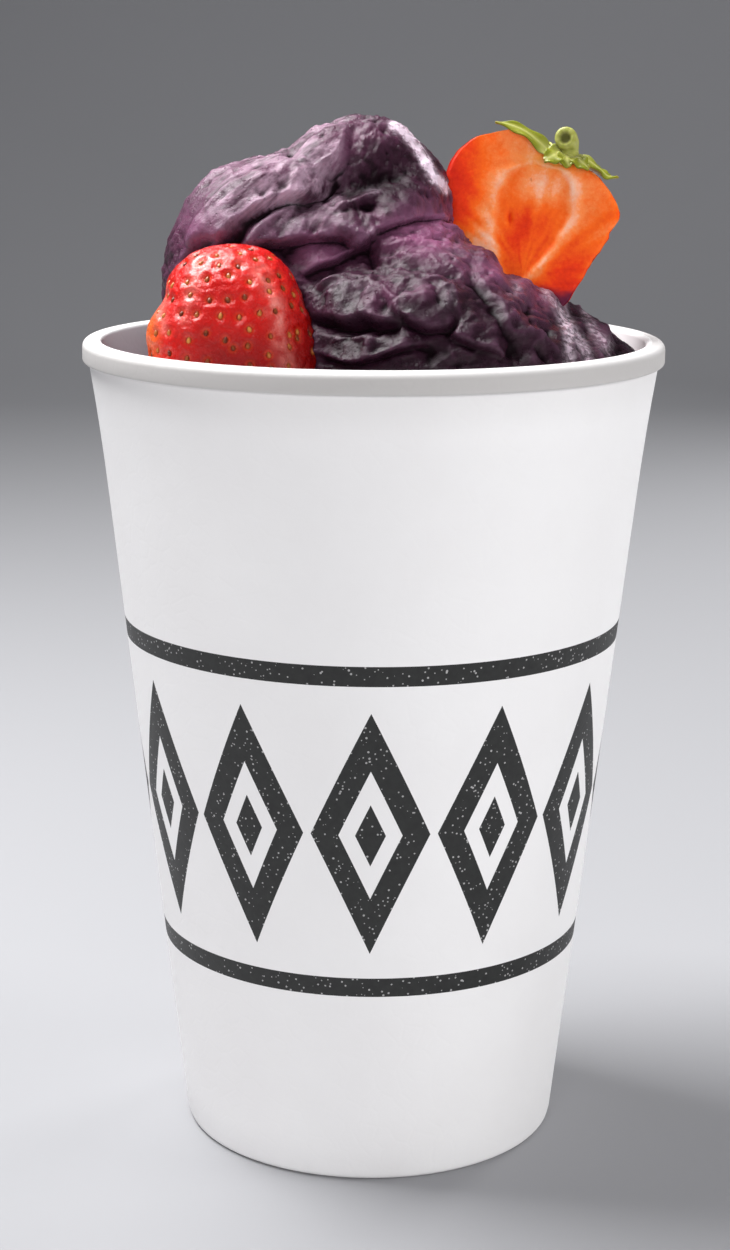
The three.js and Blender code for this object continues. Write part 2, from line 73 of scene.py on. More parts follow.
# Sorbet
FILL_LEVEL = 122
HEAP_SIDES = 400
HEAP_RINGS = 215
FRONT_DENSER = 0.33  # how much closer the heap's columns lie at the front
FILL_RINGS = 4
WALL_GAP = 0.3
HEAP_CENTRE = np.array([0, 0, FILL_LEVEL])
SEARCH_REACH = 62
SEARCH_HALVINGS = 16
SHOULDER_ANGLE = 0.16
BLEND = 0.55
MASSES = (
    ((0, 0, 116), (41.5, 41.5, 15)),
    ((-2.2, 2, 136), (17.4, 19, 32.2)),
    ((-17.2, 1, 140), (17, 19, 21)),
    ((9, -12, 131), (22, 20, 16.5)),
    ((18, -4, 124), (23, 26, 19.6)),
    ((34.5, -5, 127.5), (10, 13, 8.4)),
    ((-3, 15, 129), (29, 21, 19)),
    ((22, 16, 124), (17, 17, 14)),
)
# Folds: lip, rise above the edge, groove, its reach below, and the edge seen from the front
FRONT_FOLDS = (
    (2.7, 7, 2.4, 3.2, ((-25.5, 147), (-23.1, 150.4), (-20.8, 153), (-16.2, 155.6), (-9.8, 157.3),
        (-8.2, 160.8), (-5.2, 164), (-4.6, 166.6))),
    (2.4, 2.6, 2.4, 2.8, ((-27, 143), (-23, 147), (-18.4, 150), (-13.8, 150.8), (-8.7, 151.2),
        (-5.5, 151.2), (-2.7, 150.3), (0.2, 150.8))),
    (1.9, 5, 1.8, 1.6, ((-1, 151), (1.6, 152.3), (4, 153.1), (6.3, 153.7), (8.7, 153.6), (12, 152.6))),
    (1.7, 3.2, 2.4, 2.2, ((-11.6, 144.8), (-8.7, 146.8), (-6, 147.9), (-3.7, 149.2), (-0.6, 150.2))),
    (2.3, 3.2, 2.6, 2.0, ((-10, 138.6), (-7.4, 139.2), (-4.3, 139.3), (-1.3, 139.8), (0.8, 139.3),
        (4, 139.3))),
    (1.9, 3.2, 1.8, 1.6, ((3.2, 140.9), (4.3, 140.1), (6.4, 139.3), (8.8, 138.7), (11.2, 139.1),
        (12.2, 141.4))),
    (1.7, 1.4, 1.8, 1.4, ((-9.5, 134), (-5.4, 133.5), (-2.8, 133.2), (-0.2, 134.1), (2.1, 135),
        (4.7, 135.8), (8.5, 136.6))),
    (1.2, 2.2, 1.0, 2, ((0.8, 146.2), (3.6, 147.2), (5.5, 146.7), (7.7, 146.7), (11.8, 146.5))),
    (1.4, 3, 1.0, 2.5, ((-31, 143.4), (-27.1, 149.3), (-20, 152))),
    (1.5, 2.6, 1.6, 1.6, ((11.4, 144.5), (12.6, 141.6), (12.9, 139.1), (12.1, 137.2), (14.4, 136.3),
        (17.4, 135.4), (20.2, 134))),
    (1.3, 2, 1.4, 1.6, ((15, 146.4), (17.6, 143.4), (19.4, 140.6), (20.4, 138.2), (22.2, 136.6))),
)
BACK_FOLDS = (
    (2.2, 6, 2.0, 4, ((-20, 149), (-12, 153), (-4, 158), (4, 163))),
    (2.0, 4, 2.2, 3.4, ((-30, 139), (-18, 144), (-6, 146), (8, 143), (18, 138))),
    (1.6, 3, 1.8, 2.6, ((-16, 134), (-4, 137), (10, 135), (24, 131))),
    (1.0, 2, 1.2, 1.8, ((-22, 147), (-12, 149.5), (-2, 151))),
    (1.0, 2, 1.0, 1.8, ((4, 150), (10, 152.6), (15, 151.6))),
    (1.2, 2.4, 1.2, 2.0, ((-26, 134), (-20, 138), (-12, 139.6), (-6, 138.8))),
)
# Ridges and creases: height, width above and below, and the crest seen from the front
RIDGES = (
    (1.5, 1.5, 0.9, ((-20.5, 149.4), (-18.1, 151.2), (-14.1, 153.8), (-10.8, 155.5), (-8.4, 155.7))),
    (0.9, 0.9, 0.7, ((-22.5, 150.2), (-19.4, 152.6), (-15.6, 154.4), (-12, 155.4))),
    (0.9, 0.7, 0.5, ((-9.4, 152.6), (-6.4, 152.2), (-4.5, 151.5), (-2.7, 150.9), (-1.1, 150.7), (0.6, 152))),
    (1.4, 0.9, 0.6, ((-6, 155), (-2.7, 155.6), (-1.3, 156.4), (1.4, 157.3))),
    (0.7, 0.6, 0.5, ((-8.4, 155.2), (-6.1, 154.3), (-4.2, 154.8))),
    (-1.5, 0.9, 0.9, ((-1, 150.6), (-0.8, 148.2), (-0.2, 145.6))),
    (1.3, 1.0, 1.3, ((-10, 140.6), (-7, 142.2), (-4.7, 143.5), (-2.5, 144.1), (0.4, 143.7))),
    (1.0, 0.8, 1.0, ((3.4, 143.2), (6.2, 144.5), (8.5, 144.7), (10.1, 143.9), (11.3, 142.4), (11.6, 140.4))),
    (0.9, 0.8, 0.8, ((-8.6, 135.6), (-4.3, 135.9), (-0.6, 136.1), (3.2, 136.4))),
    (0.8, 0.6, 0.6, ((1, 143.4), (2.2, 141.8), (3.4, 141.2))),
    (1.1, 0.7, 0.5, ((15, 135.2), (17.4, 134.8), (19.6, 133.5))),
    (1.1, 0.7, 1.4, ((21.6, 136.2), (24, 137.3), (26, 136.4), (27.7, 134.6), (29.3, 132))),
    (0.9, 1.0, 0.8, ((30.5, 138), (33.4, 138.3), (36.4, 137.4), (39, 135))),
    (0.8, 1.3, 1.0, ((8.4, 153), (11.1, 150.6), (14.3, 147.8), (18.9, 145.6), (22, 143.4))),
    (1.4, 1.4, 0.9, ((2.4, 167), (5, 165), (7.2, 161.8), (8.8, 158.9), (10.8, 157))),
    (0.8, 1.0, 1.0, ((-31, 152.5), (-26, 157.2), (-22, 159.4))),
    (0.6, 0.8, 0.7, ((-28, 150.6), (-22.6, 155.4), (-15.5, 158.6), (-9.5, 160.6))),
    (0.5, 0.7, 0.6, ((-25.6, 151), (-20.6, 155.4), (-14.6, 157.6), (-10, 158.6))),
    (0.55, 0.6, 0.6, ((-29, 146.4), (-26.2, 150.2), (-24.4, 151.6))),
    (0.6, 0.9, 0.8, ((16, 142.4), (18.4, 139.6), (19, 136.8))),
    (-0.9, 0.8, 0.8, ((24, 134.6), (25.4, 133.4), (27, 131))),
    (-0.8, 0.7, 0.7, ((33.6, 136.8), (34.6, 134.4), (34.4, 132))),
)
# Dents and swellings: place seen from the front, half sizes, height
SWELLS = (
    ((-1, 159.4), (6.5, 3.2), -2.8),
    ((2.6, 160.8), (4, 3), -0.9),
    ((-5.4, 158), (2.6, 1.8), -0.8),
    ((8, 149.3), (7.5, 3), 1.7),
    ((-5, 141.8), (5.5, 2.2), 1.0),
    ((7.8, 142), (4.6, 2.2), 0.8),
    ((-7.2, 141.2), (1.1, 0.9), -0.9),
    ((-2.2, 141.4), (1.3, 0.8), -1.1),
    ((5.6, 142.6), (1.2, 0.8), -0.8),
    ((9.6, 141.4), (1.1, 1.3), -0.8),
    ((15.4, 143.5), (2.6, 4), -1.1),
    ((-4.7, 150.6), (1.5, 0.8), -1.5),
    ((-0.8, 154.5), (1.5, 0.9), -1.6),
    ((1.7, 140.5), (0.9, 0.9), -1.2),
    ((-1.3, 137.6), (6.5, 1.3), -1.0),
    ((8.6, 135), (3.2, 1.7), -1.7),
    ((24.2, 140.6), (1.0, 0.8), -1.1),
    ((24.6, 138.2), (0.8, 1.1), -1.0),
    ((27.4, 137), (0.9, 0.9), -0.9),
    ((21.4, 134.2), (1.8, 1.5), -1.2),
    ((13.6, 132.6), (2, 1), -0.9),
    ((27, 140.4), (4.6, 3), -1.5),
    ((21.5, 144.8), (2.6, 2.2), -1.9),
    ((16.6, 147.8), (2.2, 2), 1.1),
    ((13.6, 154), (2.4, 3.6), -1.7),
    ((26, 142), (2.2, 2), -1.2),
    ((31.4, 139.2), (3.6, 3.2), -2.4),
    ((35.6, 138), (3.4, 3.4), -3.0),
    ((41, 134), (3.6, 4), -4.0),
    ((-14.2, 147.6), (3, 1.9), -1.3),
    ((-15.4, 150), (1.6, 1), -0.5),
    ((-10, 151.4), (1.1, 0.8), -0.4),
)
PITS = 130  # small holes in the sorbet, all round
# Pale drips of melted ice, seen from the front
DRIPS = (
    ((27.4, 141), (28.6, 139.6), (29.6, 137.4), (30, 134.8), (29.8, 131)),
    ((30.2, 138.2), (31, 135.8), (32.4, 133.8), (33.2, 131)),
    ((34.4, 137.4), (35.4, 134.6), (37.4, 132.6)),
)
# Where the sorbet is a clearer purple: place, half sizes, strength
CLEAR_PATCHES = (
    ((8.4, 151), (7, 3.6), 1.2),
    ((-8.6, 148), (4.6, 2.4), 0.8),
    ((-3, 165.5), (4, 2), 0.4),
    ((-6, 161.5), (2.4, 3), 0.5),
    ((20, 145.2), (7, 2.2), 1.0),
    ((26, 141), (6, 3), 0.7),
    ((-27.5, 151), (3.4, 4), 0.6),
    ((1, 141.8), (3.4, 2), 0.6),
    ((7, 143), (3, 1.4), 0.5),
    ((-18, 160), (7, 1.4), 0.4),
    ((37, 135), (2.6, 2.4), 0.5),
)
# Painted highlight of the back light glancing off the rolled edge at the right of the peak
RIM_HIGHLIGHT = ((3, 166.6), (5.4, 165), (7.8, 161.6), (9.4, 158.8), (11.4, 157))
# Painted highlights on lit places, in the same way
HIGHLIGHT_PATCHES = (
    ((-11.5, 152), (4, 0.7), 0.6),
    ((-12.6, 154.8), (1.8, 0.6), 0.5),
    ((-4.2, 143.4), (3, 0.8), 0.5),
    ((-0.6, 151.2), (0.9, 0.8), 0.6),
    ((0, 156.8), (1.3, 0.5), 0.7),
    ((12.4, 148), (1.6, 0.9), 0.5),
    ((-2.4, 165.5), (1.4, 0.9), 0.4),
    ((-24, 153), (2.4, 2.4), 0.25),
    ((-9, 160.6), (4.6, 1.5), 0.35),
    ((-2, 168), (6, 1.2), 0.45),
    ((21.8, 142.4), (1.2, 0.9), 0.5),
    ((11.2, 142.4), (0.8, 1.8), 0.35),
)
LIP_DROP = 0.75
OVERHANG = 0.6
FOLD_SAMPLES = 24
SIDE_BLEND = 8
LUMPY_FROM = 14
LUMPY_WITHIN = 6
CONTACT_RISE = 0.8  # of the sorbet against the whole berry
CONTACT_REACH = 1.6
CREASE_STEPS = 14  # rounds of smoothing that show which places are hollow
SOCKET_GAP = 0.06

# Whole strawberry, tip up
WHOLE_LENGTH = 34
WHOLE_RADIUS = 13.6
WHOLE_DEPTH_SHARE = 0.92
WHOLE_TIP = Vector((-22.4, -20.5, 149.2))
WHOLE_LEAN = 0.06
WHOLE_PROFILE = (
    (0, 0), (0.25, 0.012), (0.46, 0.045), (0.655, 0.118), (0.78, 0.206), (0.87, 0.3), (0.94, 0.42),
    (1, 0.62), (0.92, 0.8), (0.62, 0.93), (0, 1),
)
# Painted sheen of reflected light on its skin: strength, and middle line seen from the front
SHEEN_WIDTH = 1.1
SHEEN_LINES = (
    (0.3, ((-6.9, -10.8), (-5.4, -6.4), (-4.3, -2.3))),
    (0.4, ((-10.3, -11.3), (-10.6, -9), (-10.4, -6.4))),
    (0.4, ((6.6, -9.3), (7.4, -13.6), (8.8, -18.4))),
    (0.25, ((-4.3, -1.8), (0.4, -2.2), (4.8, -3.8))),
    (0.4, ((5.4, -4.2), (6.8, -7.4), (7.8, -10.8))),
)
WHOLE_RINGS = 150
WHOLE_SIDES = 192

# Strawberry half: height, left edge and right edge of its cut face
HALF_ORIGIN = Vector((25, -1, 151))
HALF_LEAN = -0.1
HALF_DEPTH_SHARE = 0.85
HALF_ROWS = (
    (-15.4, -0.5, -0.5), (-14.4, -3, 3.2), (-12.2, -5.8, 6), (-10.4, -7.3, 7.1), (-6.6, -10.2, 9.6),
    (-2.9, -12.4, 11.8), (-1.6, -13, 12.8), (-0.6, -13.3, 13.2), (1.3, -14, 14.1), (3.4, -14.4, 13.9),
    (5, -14.4, 13), (7.1, -14, 11.5), (8.8, -13.5, 9.4), (9.9, -13, 6.4), (10.8, -12.5, 3.8),
    (12.2, -11.4, 1.8), (13.8, -9.3, 0.5), (14.6, -6.6, -0.2), (15.3, -3.2, -1.2), (15.4, -2.4, -2.2),
)
# Edges of the pale core in the cut face, in the same way
CORE_ROWS = (
    (-11, -2.4, -2.2), (-9.5, -3.4, -1.6), (-8, -4.3, -0.2), (-6, -5.1, 1.8), (-4, -5.7, 3.4),
    (-2, -6.2, 4.9), (0.7, -6.3, 6.3), (3.9, -6.1, 6.8), (6.5, -5.2, 6.5), (8.6, -3.6, 5.1),
    (9.8, -0.5, 1.2),
)
HALF_RINGS = 140
HALF_SIDES = 208

PIT_DEPTH = 0.4
PIT_RADIUS = 0.7
PIT_SPACING = 3.05
PIT_ROWS = 0.92  # how far apart the rings of pits lie, as a share of the spacing
SEED_SIZE = (0.31, 0.24, 0.48)
SEED_RISE = 0.16  # of a seed's middle above the bottom of its pit

# Crown of the strawberry half: each leaf's width, the way that its face looks, and its middle line
SEPALS = (
    (3.1, (0.3, -0.8, 1), ((30.2, 0.6, 161.4), (27.9, 0.1, 162.6), (26.2, 0, 164.1), (23.9, 0, 165.8),
        (21.5, 0.1, 166.8), (19.1, 0.3, 167.3))),
    (2.2, (0.5, -0.5, 1), ((30.6, 0.6, 161.4), (32.6, 0.2, 161.9), (34.6, 0, 160.9), (36.3, 0.1, 159.6),
        (37.4, 0.2, 158.8), (39, 0.3, 158.8))),
    (3.6, (0.1, -1, 0.8), ((30.4, 0.8, 162), (29.2, -0.9, 162.4), (27.9, -1.7, 161.9), (26.9, -2, 161.3))),
    (3.4, (0.2, -1, 0.7), ((30.8, 0.8, 162), (30.6, -1, 161.9), (30.6, -1.8, 161.1), (30.9, -2, 160.4))),
    (3.0, (0.5, -1, 0.7), ((31.2, 0.8, 161.8), (32.2, -0.9, 161.6), (33.2, -1.5, 160.8),
        (34.1, -1.6, 160.1))),
    (4.6, (0.3, 0.2, 1), ((30, 1, 161.8), (26.4, 4, 164.4), (23, 6.8, 164.8), (19.8, 8.8, 163.2))),
    (4.8, (0.3, 0.2, 1), ((30.4, 1.2, 161.8), (30, 4.6, 163), (30, 8, 162), (30.4, 10.6, 159))),
    (4.4, (0.5, 0.2, 1), ((30.8, 1, 161.6), (33, 3.4, 161.2), (36, 5.6, 159.4), (38.2, 7.6, 158.6))),
)
STEM_ROUTE = ((31.1, 1.6, 160.8), (31, 1.6, 162.6), (30.9, 1.2, 163.9), (30.5, 0.1, 164.7), (30.2, -1, 164.9))
STEM_RADII = (1.9, 1.6, 1.7, 1.8, 1.75)
STEM_RINGS = 24
STEM_SIDES = 24
STEM_DISH = ((0.3, 0.12), (0.5, -0.5), (0.4, 0.1))  # insets of its cut end: width, height
LEAF_THICKNESS = 0.4

# Camera, solved from the photograph's perspective
CAMERA_AT = Vector((0, -392.93, 175.33)) * MM
CAMERA_PITCH = 0.2258
CAMERA_YAW = -0.0029
CAMERA_ROLL = 0.0058
FOCAL_PIXELS = 2419.66
PHOTO_HEIGHT = 1250
SENSOR = 36


# Shapes of numbers

def smoothstep(low, high, value):
    share = np.clip((value - low) / (high - low), 0, 1)
    return share * share * (3 - 2 * share)


def bump(value, width):
    return np.exp(-((value / width) ** 2))


def spline(points, share):
    """Point at a share of the way along a smooth curve through the given points."""
    points = [Vector(point) for point in points]
    place = share * (len(points) - 1)
    first = min(int(place), len(points) - 2)
    t = place - first
    p0 = points[max(first - 1, 0)]
    p1 = points[first]
    p2 = points[first + 1]
    p3 = points[min(first + 2, len(points) - 1)]
    v0 = (p2 - p0) / 2
    v1 = (p3 - p1) / 2
    return (2 * p1 - 2 * p2 + v0 + v1) * t**3 + (-3 * p1 + 3 * p2 - 2 * v0 - v1) * t**2 + v0 * t + p1


def spline_table(points, count):
    return np.array([spline(points, i / (count - 1)) for i in range(count)])


def noise_at(points, span, shift=0.0):
    """Smooth noise from -1 to 1 at each point, with lumps about one span across."""
    return np.array([noise.noise(Vector(point)) for point in points / span + shift])


# Making meshes

def vertex_array(bm):
    return np.array([vertex.co[:] for vertex in bm.verts])


def set_vertices(bm, points):
    for vertex, point in zip(bm.verts, points):
        vertex.co = point


def paint(bm, name, values):
    """Keeps a number for each vertex, for the material to read."""
    layer = bm.verts.layers.float.new(name)
    for vertex, value in zip(bm.verts, values):
        vertex[layer] = float(value)


def paint_all(bm, paints):
    for name, values in paints.items():
        paint(bm, name, values)


def spin_profile(profile, sides):
    """A shell turned round Z from points of radius and height, with its poles and seam closed."""
    bm = bmesh.new()
    verts = [bm.verts.new((radius, 0, height)) for radius, height in profile]
    edges = [bm.edges.new(pair) for pair in zip(verts, verts[1:])]
    bmesh.ops.spin(
        bm, geom=verts + edges, cent=(0, 0, 0), axis=(0, 0, 1), angle=2 * math.pi, steps=sides, use_merge=True
    )
    bmesh.ops.remove_doubles(bm, verts=bm.verts, dist=1e-5)
    bmesh.ops.recalc_face_normals(bm, faces=bm.faces)
    return bm


def unit_shell(rings, sides):
    """A drum of radius 1 from height 0 to 1 with closed ends, to be moved into a berry's shape."""
    profile = [(0, 0)] + [(1, ring / rings) for ring in range(1, rings)] + [(0, 1)]
    return spin_profile(profile, sides)


def shell_places(bm):
    """Each vertex's share of the height and its turn from the front, towards +X."""
    points = vertex_array(bm)
    return points[:, 2], np.arctan2(points[:, 0], -points[:, 1])


def link(name, mesh):
    obj = bpy.data.objects.new(name, mesh)
    bpy.context.scene.collection.objects.link(obj)
    return obj


def to_object(name, bm, *materials):
    """Makes an object in metres from a mesh drawn in millimetres."""
    bmesh.ops.scale(bm, vec=(MM, MM, MM), verts=bm.verts)
    bm.normal_update()
    mesh = bpy.data.meshes.new(name)
    bm.to_mesh(mesh)
    bm.free()
    mesh.shade_smooth()
    for material in materials:
        mesh.materials.append(material)
    return link(name, mesh)


def finish_piece(obj, node):
    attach(obj, "root")
    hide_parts(node)


def bake_modifiers(obj):
    """Puts what the modifiers make into the object's own mesh."""
    evaluated = obj.evaluated_get(bpy.context.evaluated_depsgraph_get())
    mesh = bpy.data.meshes.new_from_object(evaluated)
    obj.modifiers.clear()
    obj.data = mesh


# Material building

class Nodes:
    """Short words for building one material's node tree."""

    def __init__(self, name):
        self.material = bpy.data.materials.new(name)
        self.material.use_nodes = True
        self.tree = self.material.node_tree
        self.shader = self.tree.nodes["Principled BSDF"]
        self.place = self.add("ShaderNodeTexCoord").outputs["Object"]

    def add(self, kind, inputs=(), **settings):
        node = self.tree.nodes.new(kind)
        for key, value in settings.items():
            setattr(node, key, value)
        for key, value in dict(inputs).items():
            self.feed(node.inputs[key], value)
        return node

    def feed(self, socket, value):
        if isinstance(value, bpy.types.NodeSocket):
            self.tree.links.new(value, socket)
        else:
            socket.default_value = value

    def maths(self, operation, *values):
        node = self.add("ShaderNodeMath", operation=operation)
        for socket, value in zip(node.inputs, values):
            self.feed(socket, value)
        return node.outputs[0]

    def times(self, first, second):
        return self.maths("MULTIPLY", first, second)

    def stretched(self, turn, stretch):
        """The place, drawn out along one direction of the front view."""
        inputs = {"Vector": self.place, "Scale": (stretch, 1, 1), "Rotation": (0, turn, 0)}
        return self.add("ShaderNodeMapping", inputs, vector_type="TEXTURE").outputs[0]

    def noise(self, scale, detail=3, roughness=0.5, vector=None, distortion=0.0):
        inputs = {"Scale": scale, "Detail": detail, "Roughness": roughness, "Distortion": distortion}
        inputs["Vector"] = vector or self.place
        return self.add("ShaderNodeTexNoise", inputs).outputs["Fac"]

    def voronoi(self, scale, feature="F1"):
        inputs = {"Scale": scale, "Vector": self.place}
        return self.add("ShaderNodeTexVoronoi", inputs, feature=feature).outputs[0]

    def attribute(self, name):
        return self.add("ShaderNodeAttribute", attribute_name=name).outputs["Fac"]

    def ramp(self, value, *stops):
        node = self.add("ShaderNodeValToRGB", {"Fac": value})
        elements = node.color_ramp.elements
        while len(elements) < len(stops):
            elements.new(0.5)
        for element, (position, colour) in zip(elements, stops):
            element.position = position
            element.color = colour
        return node.outputs["Color"]

    def range(self, value, low, high, out_low=0.0, out_high=1.0):
        inputs = {"Value": value, "From Min": low, "From Max": high, "To Min": out_low, "To Max": out_high}
        return self.add("ShaderNodeMapRange", inputs, interpolation_type="SMOOTHSTEP").outputs[0]

    def mix(self, share, first, second):
        node = self.add("ShaderNodeMix", data_type="RGBA")
        self.feed(node.inputs["Factor"], share)
        self.feed(node.inputs[6], first)
        self.feed(node.inputs[7], second)
        return node.outputs[2]

    def bump(self, height, distance, strength=1.0, under=None):
        inputs = {"Height": height, "Distance": distance, "Strength": strength}
        if under:
            inputs["Normal"] = under
        return self.add("ShaderNodeBump", inputs).outputs[0]

    def set(self, **values):
        for name, value in values.items():
            self.feed(self.shader.inputs[name.replace("_", " ")], value)


def srgb(red, green, blue):
    """A screen colour from 0 to 255 as the linear colour that a shader takes."""
    def linear(value):
        value /= 255
        return value / 12.92 if value <= 0.04045 else ((value + 0.055) / 1.055) ** 2.4
    return (linear(red), linear(green), linear(blue), 1)


def foam_material():
    n = Nodes("foam_white")
    xyz = n.add("ShaderNodeSeparateXYZ", {"Vector": n.place}).outputs
    turn = n.maths("ARCTAN2", xyz[0], n.times(xyz[1], -1))
    lozenges_round = n.times(turn, LOZENGES / (2 * math.pi))
    across = n.maths("PINGPONG", n.maths("ADD", lozenges_round, LOZENGES), 0.5)
    middle = (PRINT_LOW + PRINT_HIGH) / 2 * MM
    half = (PRINT_HIGH - PRINT_LOW) / 2 * MM
    up = n.maths("DIVIDE", n.maths("ABSOLUTE", n.maths("SUBTRACT", xyz[2], middle)), half)
    rule_share = RULE_WIDTH * MM / half
    row_top = 1 - rule_share - RULE_GAP * MM / half
    # A lozenge where the two shares add up to less than one, with a smaller bare one inside it
    reach = n.maths("ADD", n.times(across, 2), n.maths("DIVIDE", up, row_top))
    solid = n.maths("LESS_THAN", reach, 0.94)
    bare = n.maths("LESS_THAN", reach, 0.5)
    dot = n.maths("LESS_THAN", reach, 0.24)
    lozenge = n.maths("ADD", n.maths("SUBTRACT", solid, bare), dot)
    rule = n.times(n.maths("GREATER_THAN", up, 1 - rule_share), n.maths("LESS_THAN", up, 1.0))
    radius = n.maths("SQRT", n.maths("ADD", n.maths("POWER", xyz[0], 2), n.maths("POWER", xyz[1], 2)))
    lean = (WALL_TOP_RADIUS - FOOT_RADIUS) / BAND_FOOT
    wall = n.maths("ADD", n.times(xyz[2], lean), (FOOT_RADIUS - 1) * MM)
    outside_wall = n.maths("GREATER_THAN", radius, wall)
    shape = n.times(n.maths("MAXIMUM", lozenge, rule), outside_wall)
    speck = n.maths("LESS_THAN", n.voronoi(1300), n.range(n.noise(700, 2), 0.35, 0.65, 0.1, 0.24))
    ink = n.times(shape, n.maths("SUBTRACT", 1, n.times(speck, 0.45)))
    clean = n.mix(n.noise(60, 3), srgb(240, 239, 239), srgb(233, 231, 231))
    # Painted shade: the foam is painted greyer just under the rim's band, more so on the band, easing off
    # over the lip's top
    shade_under_rim = n.range(xyz[2], 0.122, 0.1293, 0.0, 0.2)
    band_shade = n.times(n.range(xyz[2], 0.1293, 0.1297), n.range(xyz[2], 0.1318, 0.1328, 1.0, 0.6))
    painted_rim_shade = n.maths("MAXIMUM", shade_under_rim, n.times(band_shade, 0.95))
    tone = n.mix(n.times(painted_rim_shade, outside_wall), clean, srgb(186, 183, 181))
    black = n.mix(n.noise(900, 3), srgb(34, 34, 34), srgb(50, 51, 50))
    beads = n.voronoi(300, "DISTANCE_TO_EDGE")
    bead_relief = n.range(beads, 0.0, 0.12)
    skin = n.bump(bead_relief, 0.00006, 0.15)
    n.set(
        Base_Color=n.mix(ink, tone, black),
        Roughness=0.5,
        IOR=1.45,
        Subsurface_Weight=0.12,
        Subsurface_Radius=(1, 1, 1),
        Subsurface_Scale=0.002,
        Normal=n.bump(n.noise(1400, 3), 0.00004, 0.3, skin),
    )
    return n.material


SORBET_PAINTS = ("hollow", "crest", "drips_and_highlights", "clear", "sheet", "low")


def sorbet_material():
    n = Nodes("acai_sorbet")
    hollow, crest, drips_and_highlights, clear, sheet, low = [n.attribute(name) for name in SORBET_PAINTS]
    scooped = n.stretched(-0.67, 6)
    mottle = n.noise(300, 5, 0.65, distortion=0.8)
    base = n.mix(n.range(mottle, 0.35, 0.65), srgb(40, 18, 30), srgb(68, 34, 54))
    purple = n.mix(n.times(clear, n.range(mottle, 0.2, 0.6, 0.5, 1.0)), base, srgb(134, 80, 112))
    scrape = n.range(n.noise(520, 4, 0.6, scooped), 0.35, 0.65)
    # Painted sheen: crests and the sheet are painted pale lavender, in streaks on the sheet and in patches
    # elsewhere
    sheen_breakup = n.range(n.noise(620, 4, 0.6), 0.3, 0.7, 0.3, 0.9)
    scattered_sheen = n.times(n.maths("SUBTRACT", 1, sheet), sheen_breakup)
    pale = n.maths("ADD", n.times(sheet, scrape), scattered_sheen)
    sheen_colour = n.mix(sheet, srgb(140, 98, 126), srgb(172, 142, 160))
    lit = n.mix(n.times(crest, pale), purple, sheen_colour)
    # Painted shade: darker at the low front
    low_shade = n.mix(n.times(low, 0.75), lit, srgb(28, 11, 21))
    # Painted shade: near black in the hollows
    shaded = n.mix(n.times(hollow, 0.92), low_shade, srgb(14, 7, 10))
    # Pale drips, and painted highlights on the rolled edge and the lit places
    pale_breakup = n.range(n.noise(900, 4, 0.7), 0.42, 0.62, 0.2, 1.0)
    pale_share = n.maths("MINIMUM", 1, n.times(drips_and_highlights, pale_breakup))
    grain = n.noise(1700, 5, 0.7)
    smears = n.noise(420, 4, 0.6, scooped)
    pores = n.range(n.voronoi(800), 0.0, 0.2)
    porous = n.bump(pores, 0.0003, n.range(n.noise(110, 2), 0.42, 0.58, 0.0, 0.9))
    fine = n.bump(grain, 0.0003, 0.6, porous)
    wet = n.range(n.noise(1100, 3, 0.6), 0.6, 0.7, 0.0, 0.2)
    n.set(
        Base_Color=n.mix(pale_share, shaded, srgb(212, 192, 206)),
        Roughness=n.range(n.noise(420, 4, 0.6), 0.3, 0.7, 0.24, 0.44),
        Specular_IOR_Level=n.range(hollow, 0.0, 1.0, 0.24, 0.06),
        Subsurface_Weight=0.15,
        Subsurface_Radius=(1, 0.45, 0.65),
        Subsurface_Scale=0.0018,
        Coat_Weight=n.times(wet, n.range(hollow, 0.0, 0.6, 1.0, 0.0)),
        Coat_Roughness=0.16,
        Normal=n.bump(smears, 0.0006, n.range(sheet, 0.0, 0.8, 0.35, 0.8), fine),
    )
    return n.material


def berry_skin_material():
    n = Nodes("strawberry_skin")
    pit = n.attribute("pit")
    redness_and_shading = n.attribute("redness_and_shading")
    red = n.mix(n.noise(180, 3), srgb(208, 20, 10), srgb(182, 12, 8))
    # Orange to deep red by a painted level, which on the whole berry carries painted light and shade
    blush = n.mix(n.range(redness_and_shading, 0.0, 0.5), srgb(236, 104, 34), red)
    deep = n.mix(n.range(redness_and_shading, 0.5, 1.0, 0.0, 0.8), blush, srgb(128, 8, 8))
    ring = n.mix(n.range(pit, 0.1, 0.5, 0.0, 0.3), deep, srgb(230, 80, 36))
    # Painted sheen of reflected light, broken up by noise
    sheen = n.times(n.attribute("painted_sheen"), n.range(n.noise(420, 4, 0.6), 0.35, 0.62, 0.15, 1.0))
    with_sheen = n.mix(sheen, ring, srgb(246, 158, 146))
    # Painted shade: dark at the bottom of each pit
    base = n.mix(n.range(pit, 0.45, 0.9, 0.0, 0.75), with_sheen, srgb(84, 10, 6))
    n.set(
        Base_Color=base,
        Roughness=n.range(n.noise(500, 3), 0.3, 0.7, 0.2, 0.34),
        IOR=1.42,
        Subsurface_Weight=0.15,
        Subsurface_Radius=(1, 0.2, 0.1),
        Subsurface_Scale=0.0015,
        Coat_Weight=n.range(n.noise(300, 3), 0.4, 0.6, 0.1, 0.4),
        Coat_Roughness=0.2,
        Normal=n.bump(n.noise(620, 5, 0.6), 0.0009, 0.7),
    )
    return n.material


def seed_material():
    n = Nodes("strawberry_seed")
    browns = (0.35, srgb(96, 36, 12)), (0.5, srgb(158, 84, 30)), (0.65, srgb(194, 126, 58))
    n.set(
        Base_Color=n.ramp(n.noise(420, 1), *browns),
        Roughness=0.35,
        Coat_Weight=0.3,
        Coat_Roughness=0.15,
        Normal=n.bump(n.noise(5000, 2), 0.00006, 0.5),
    )
    return n.material


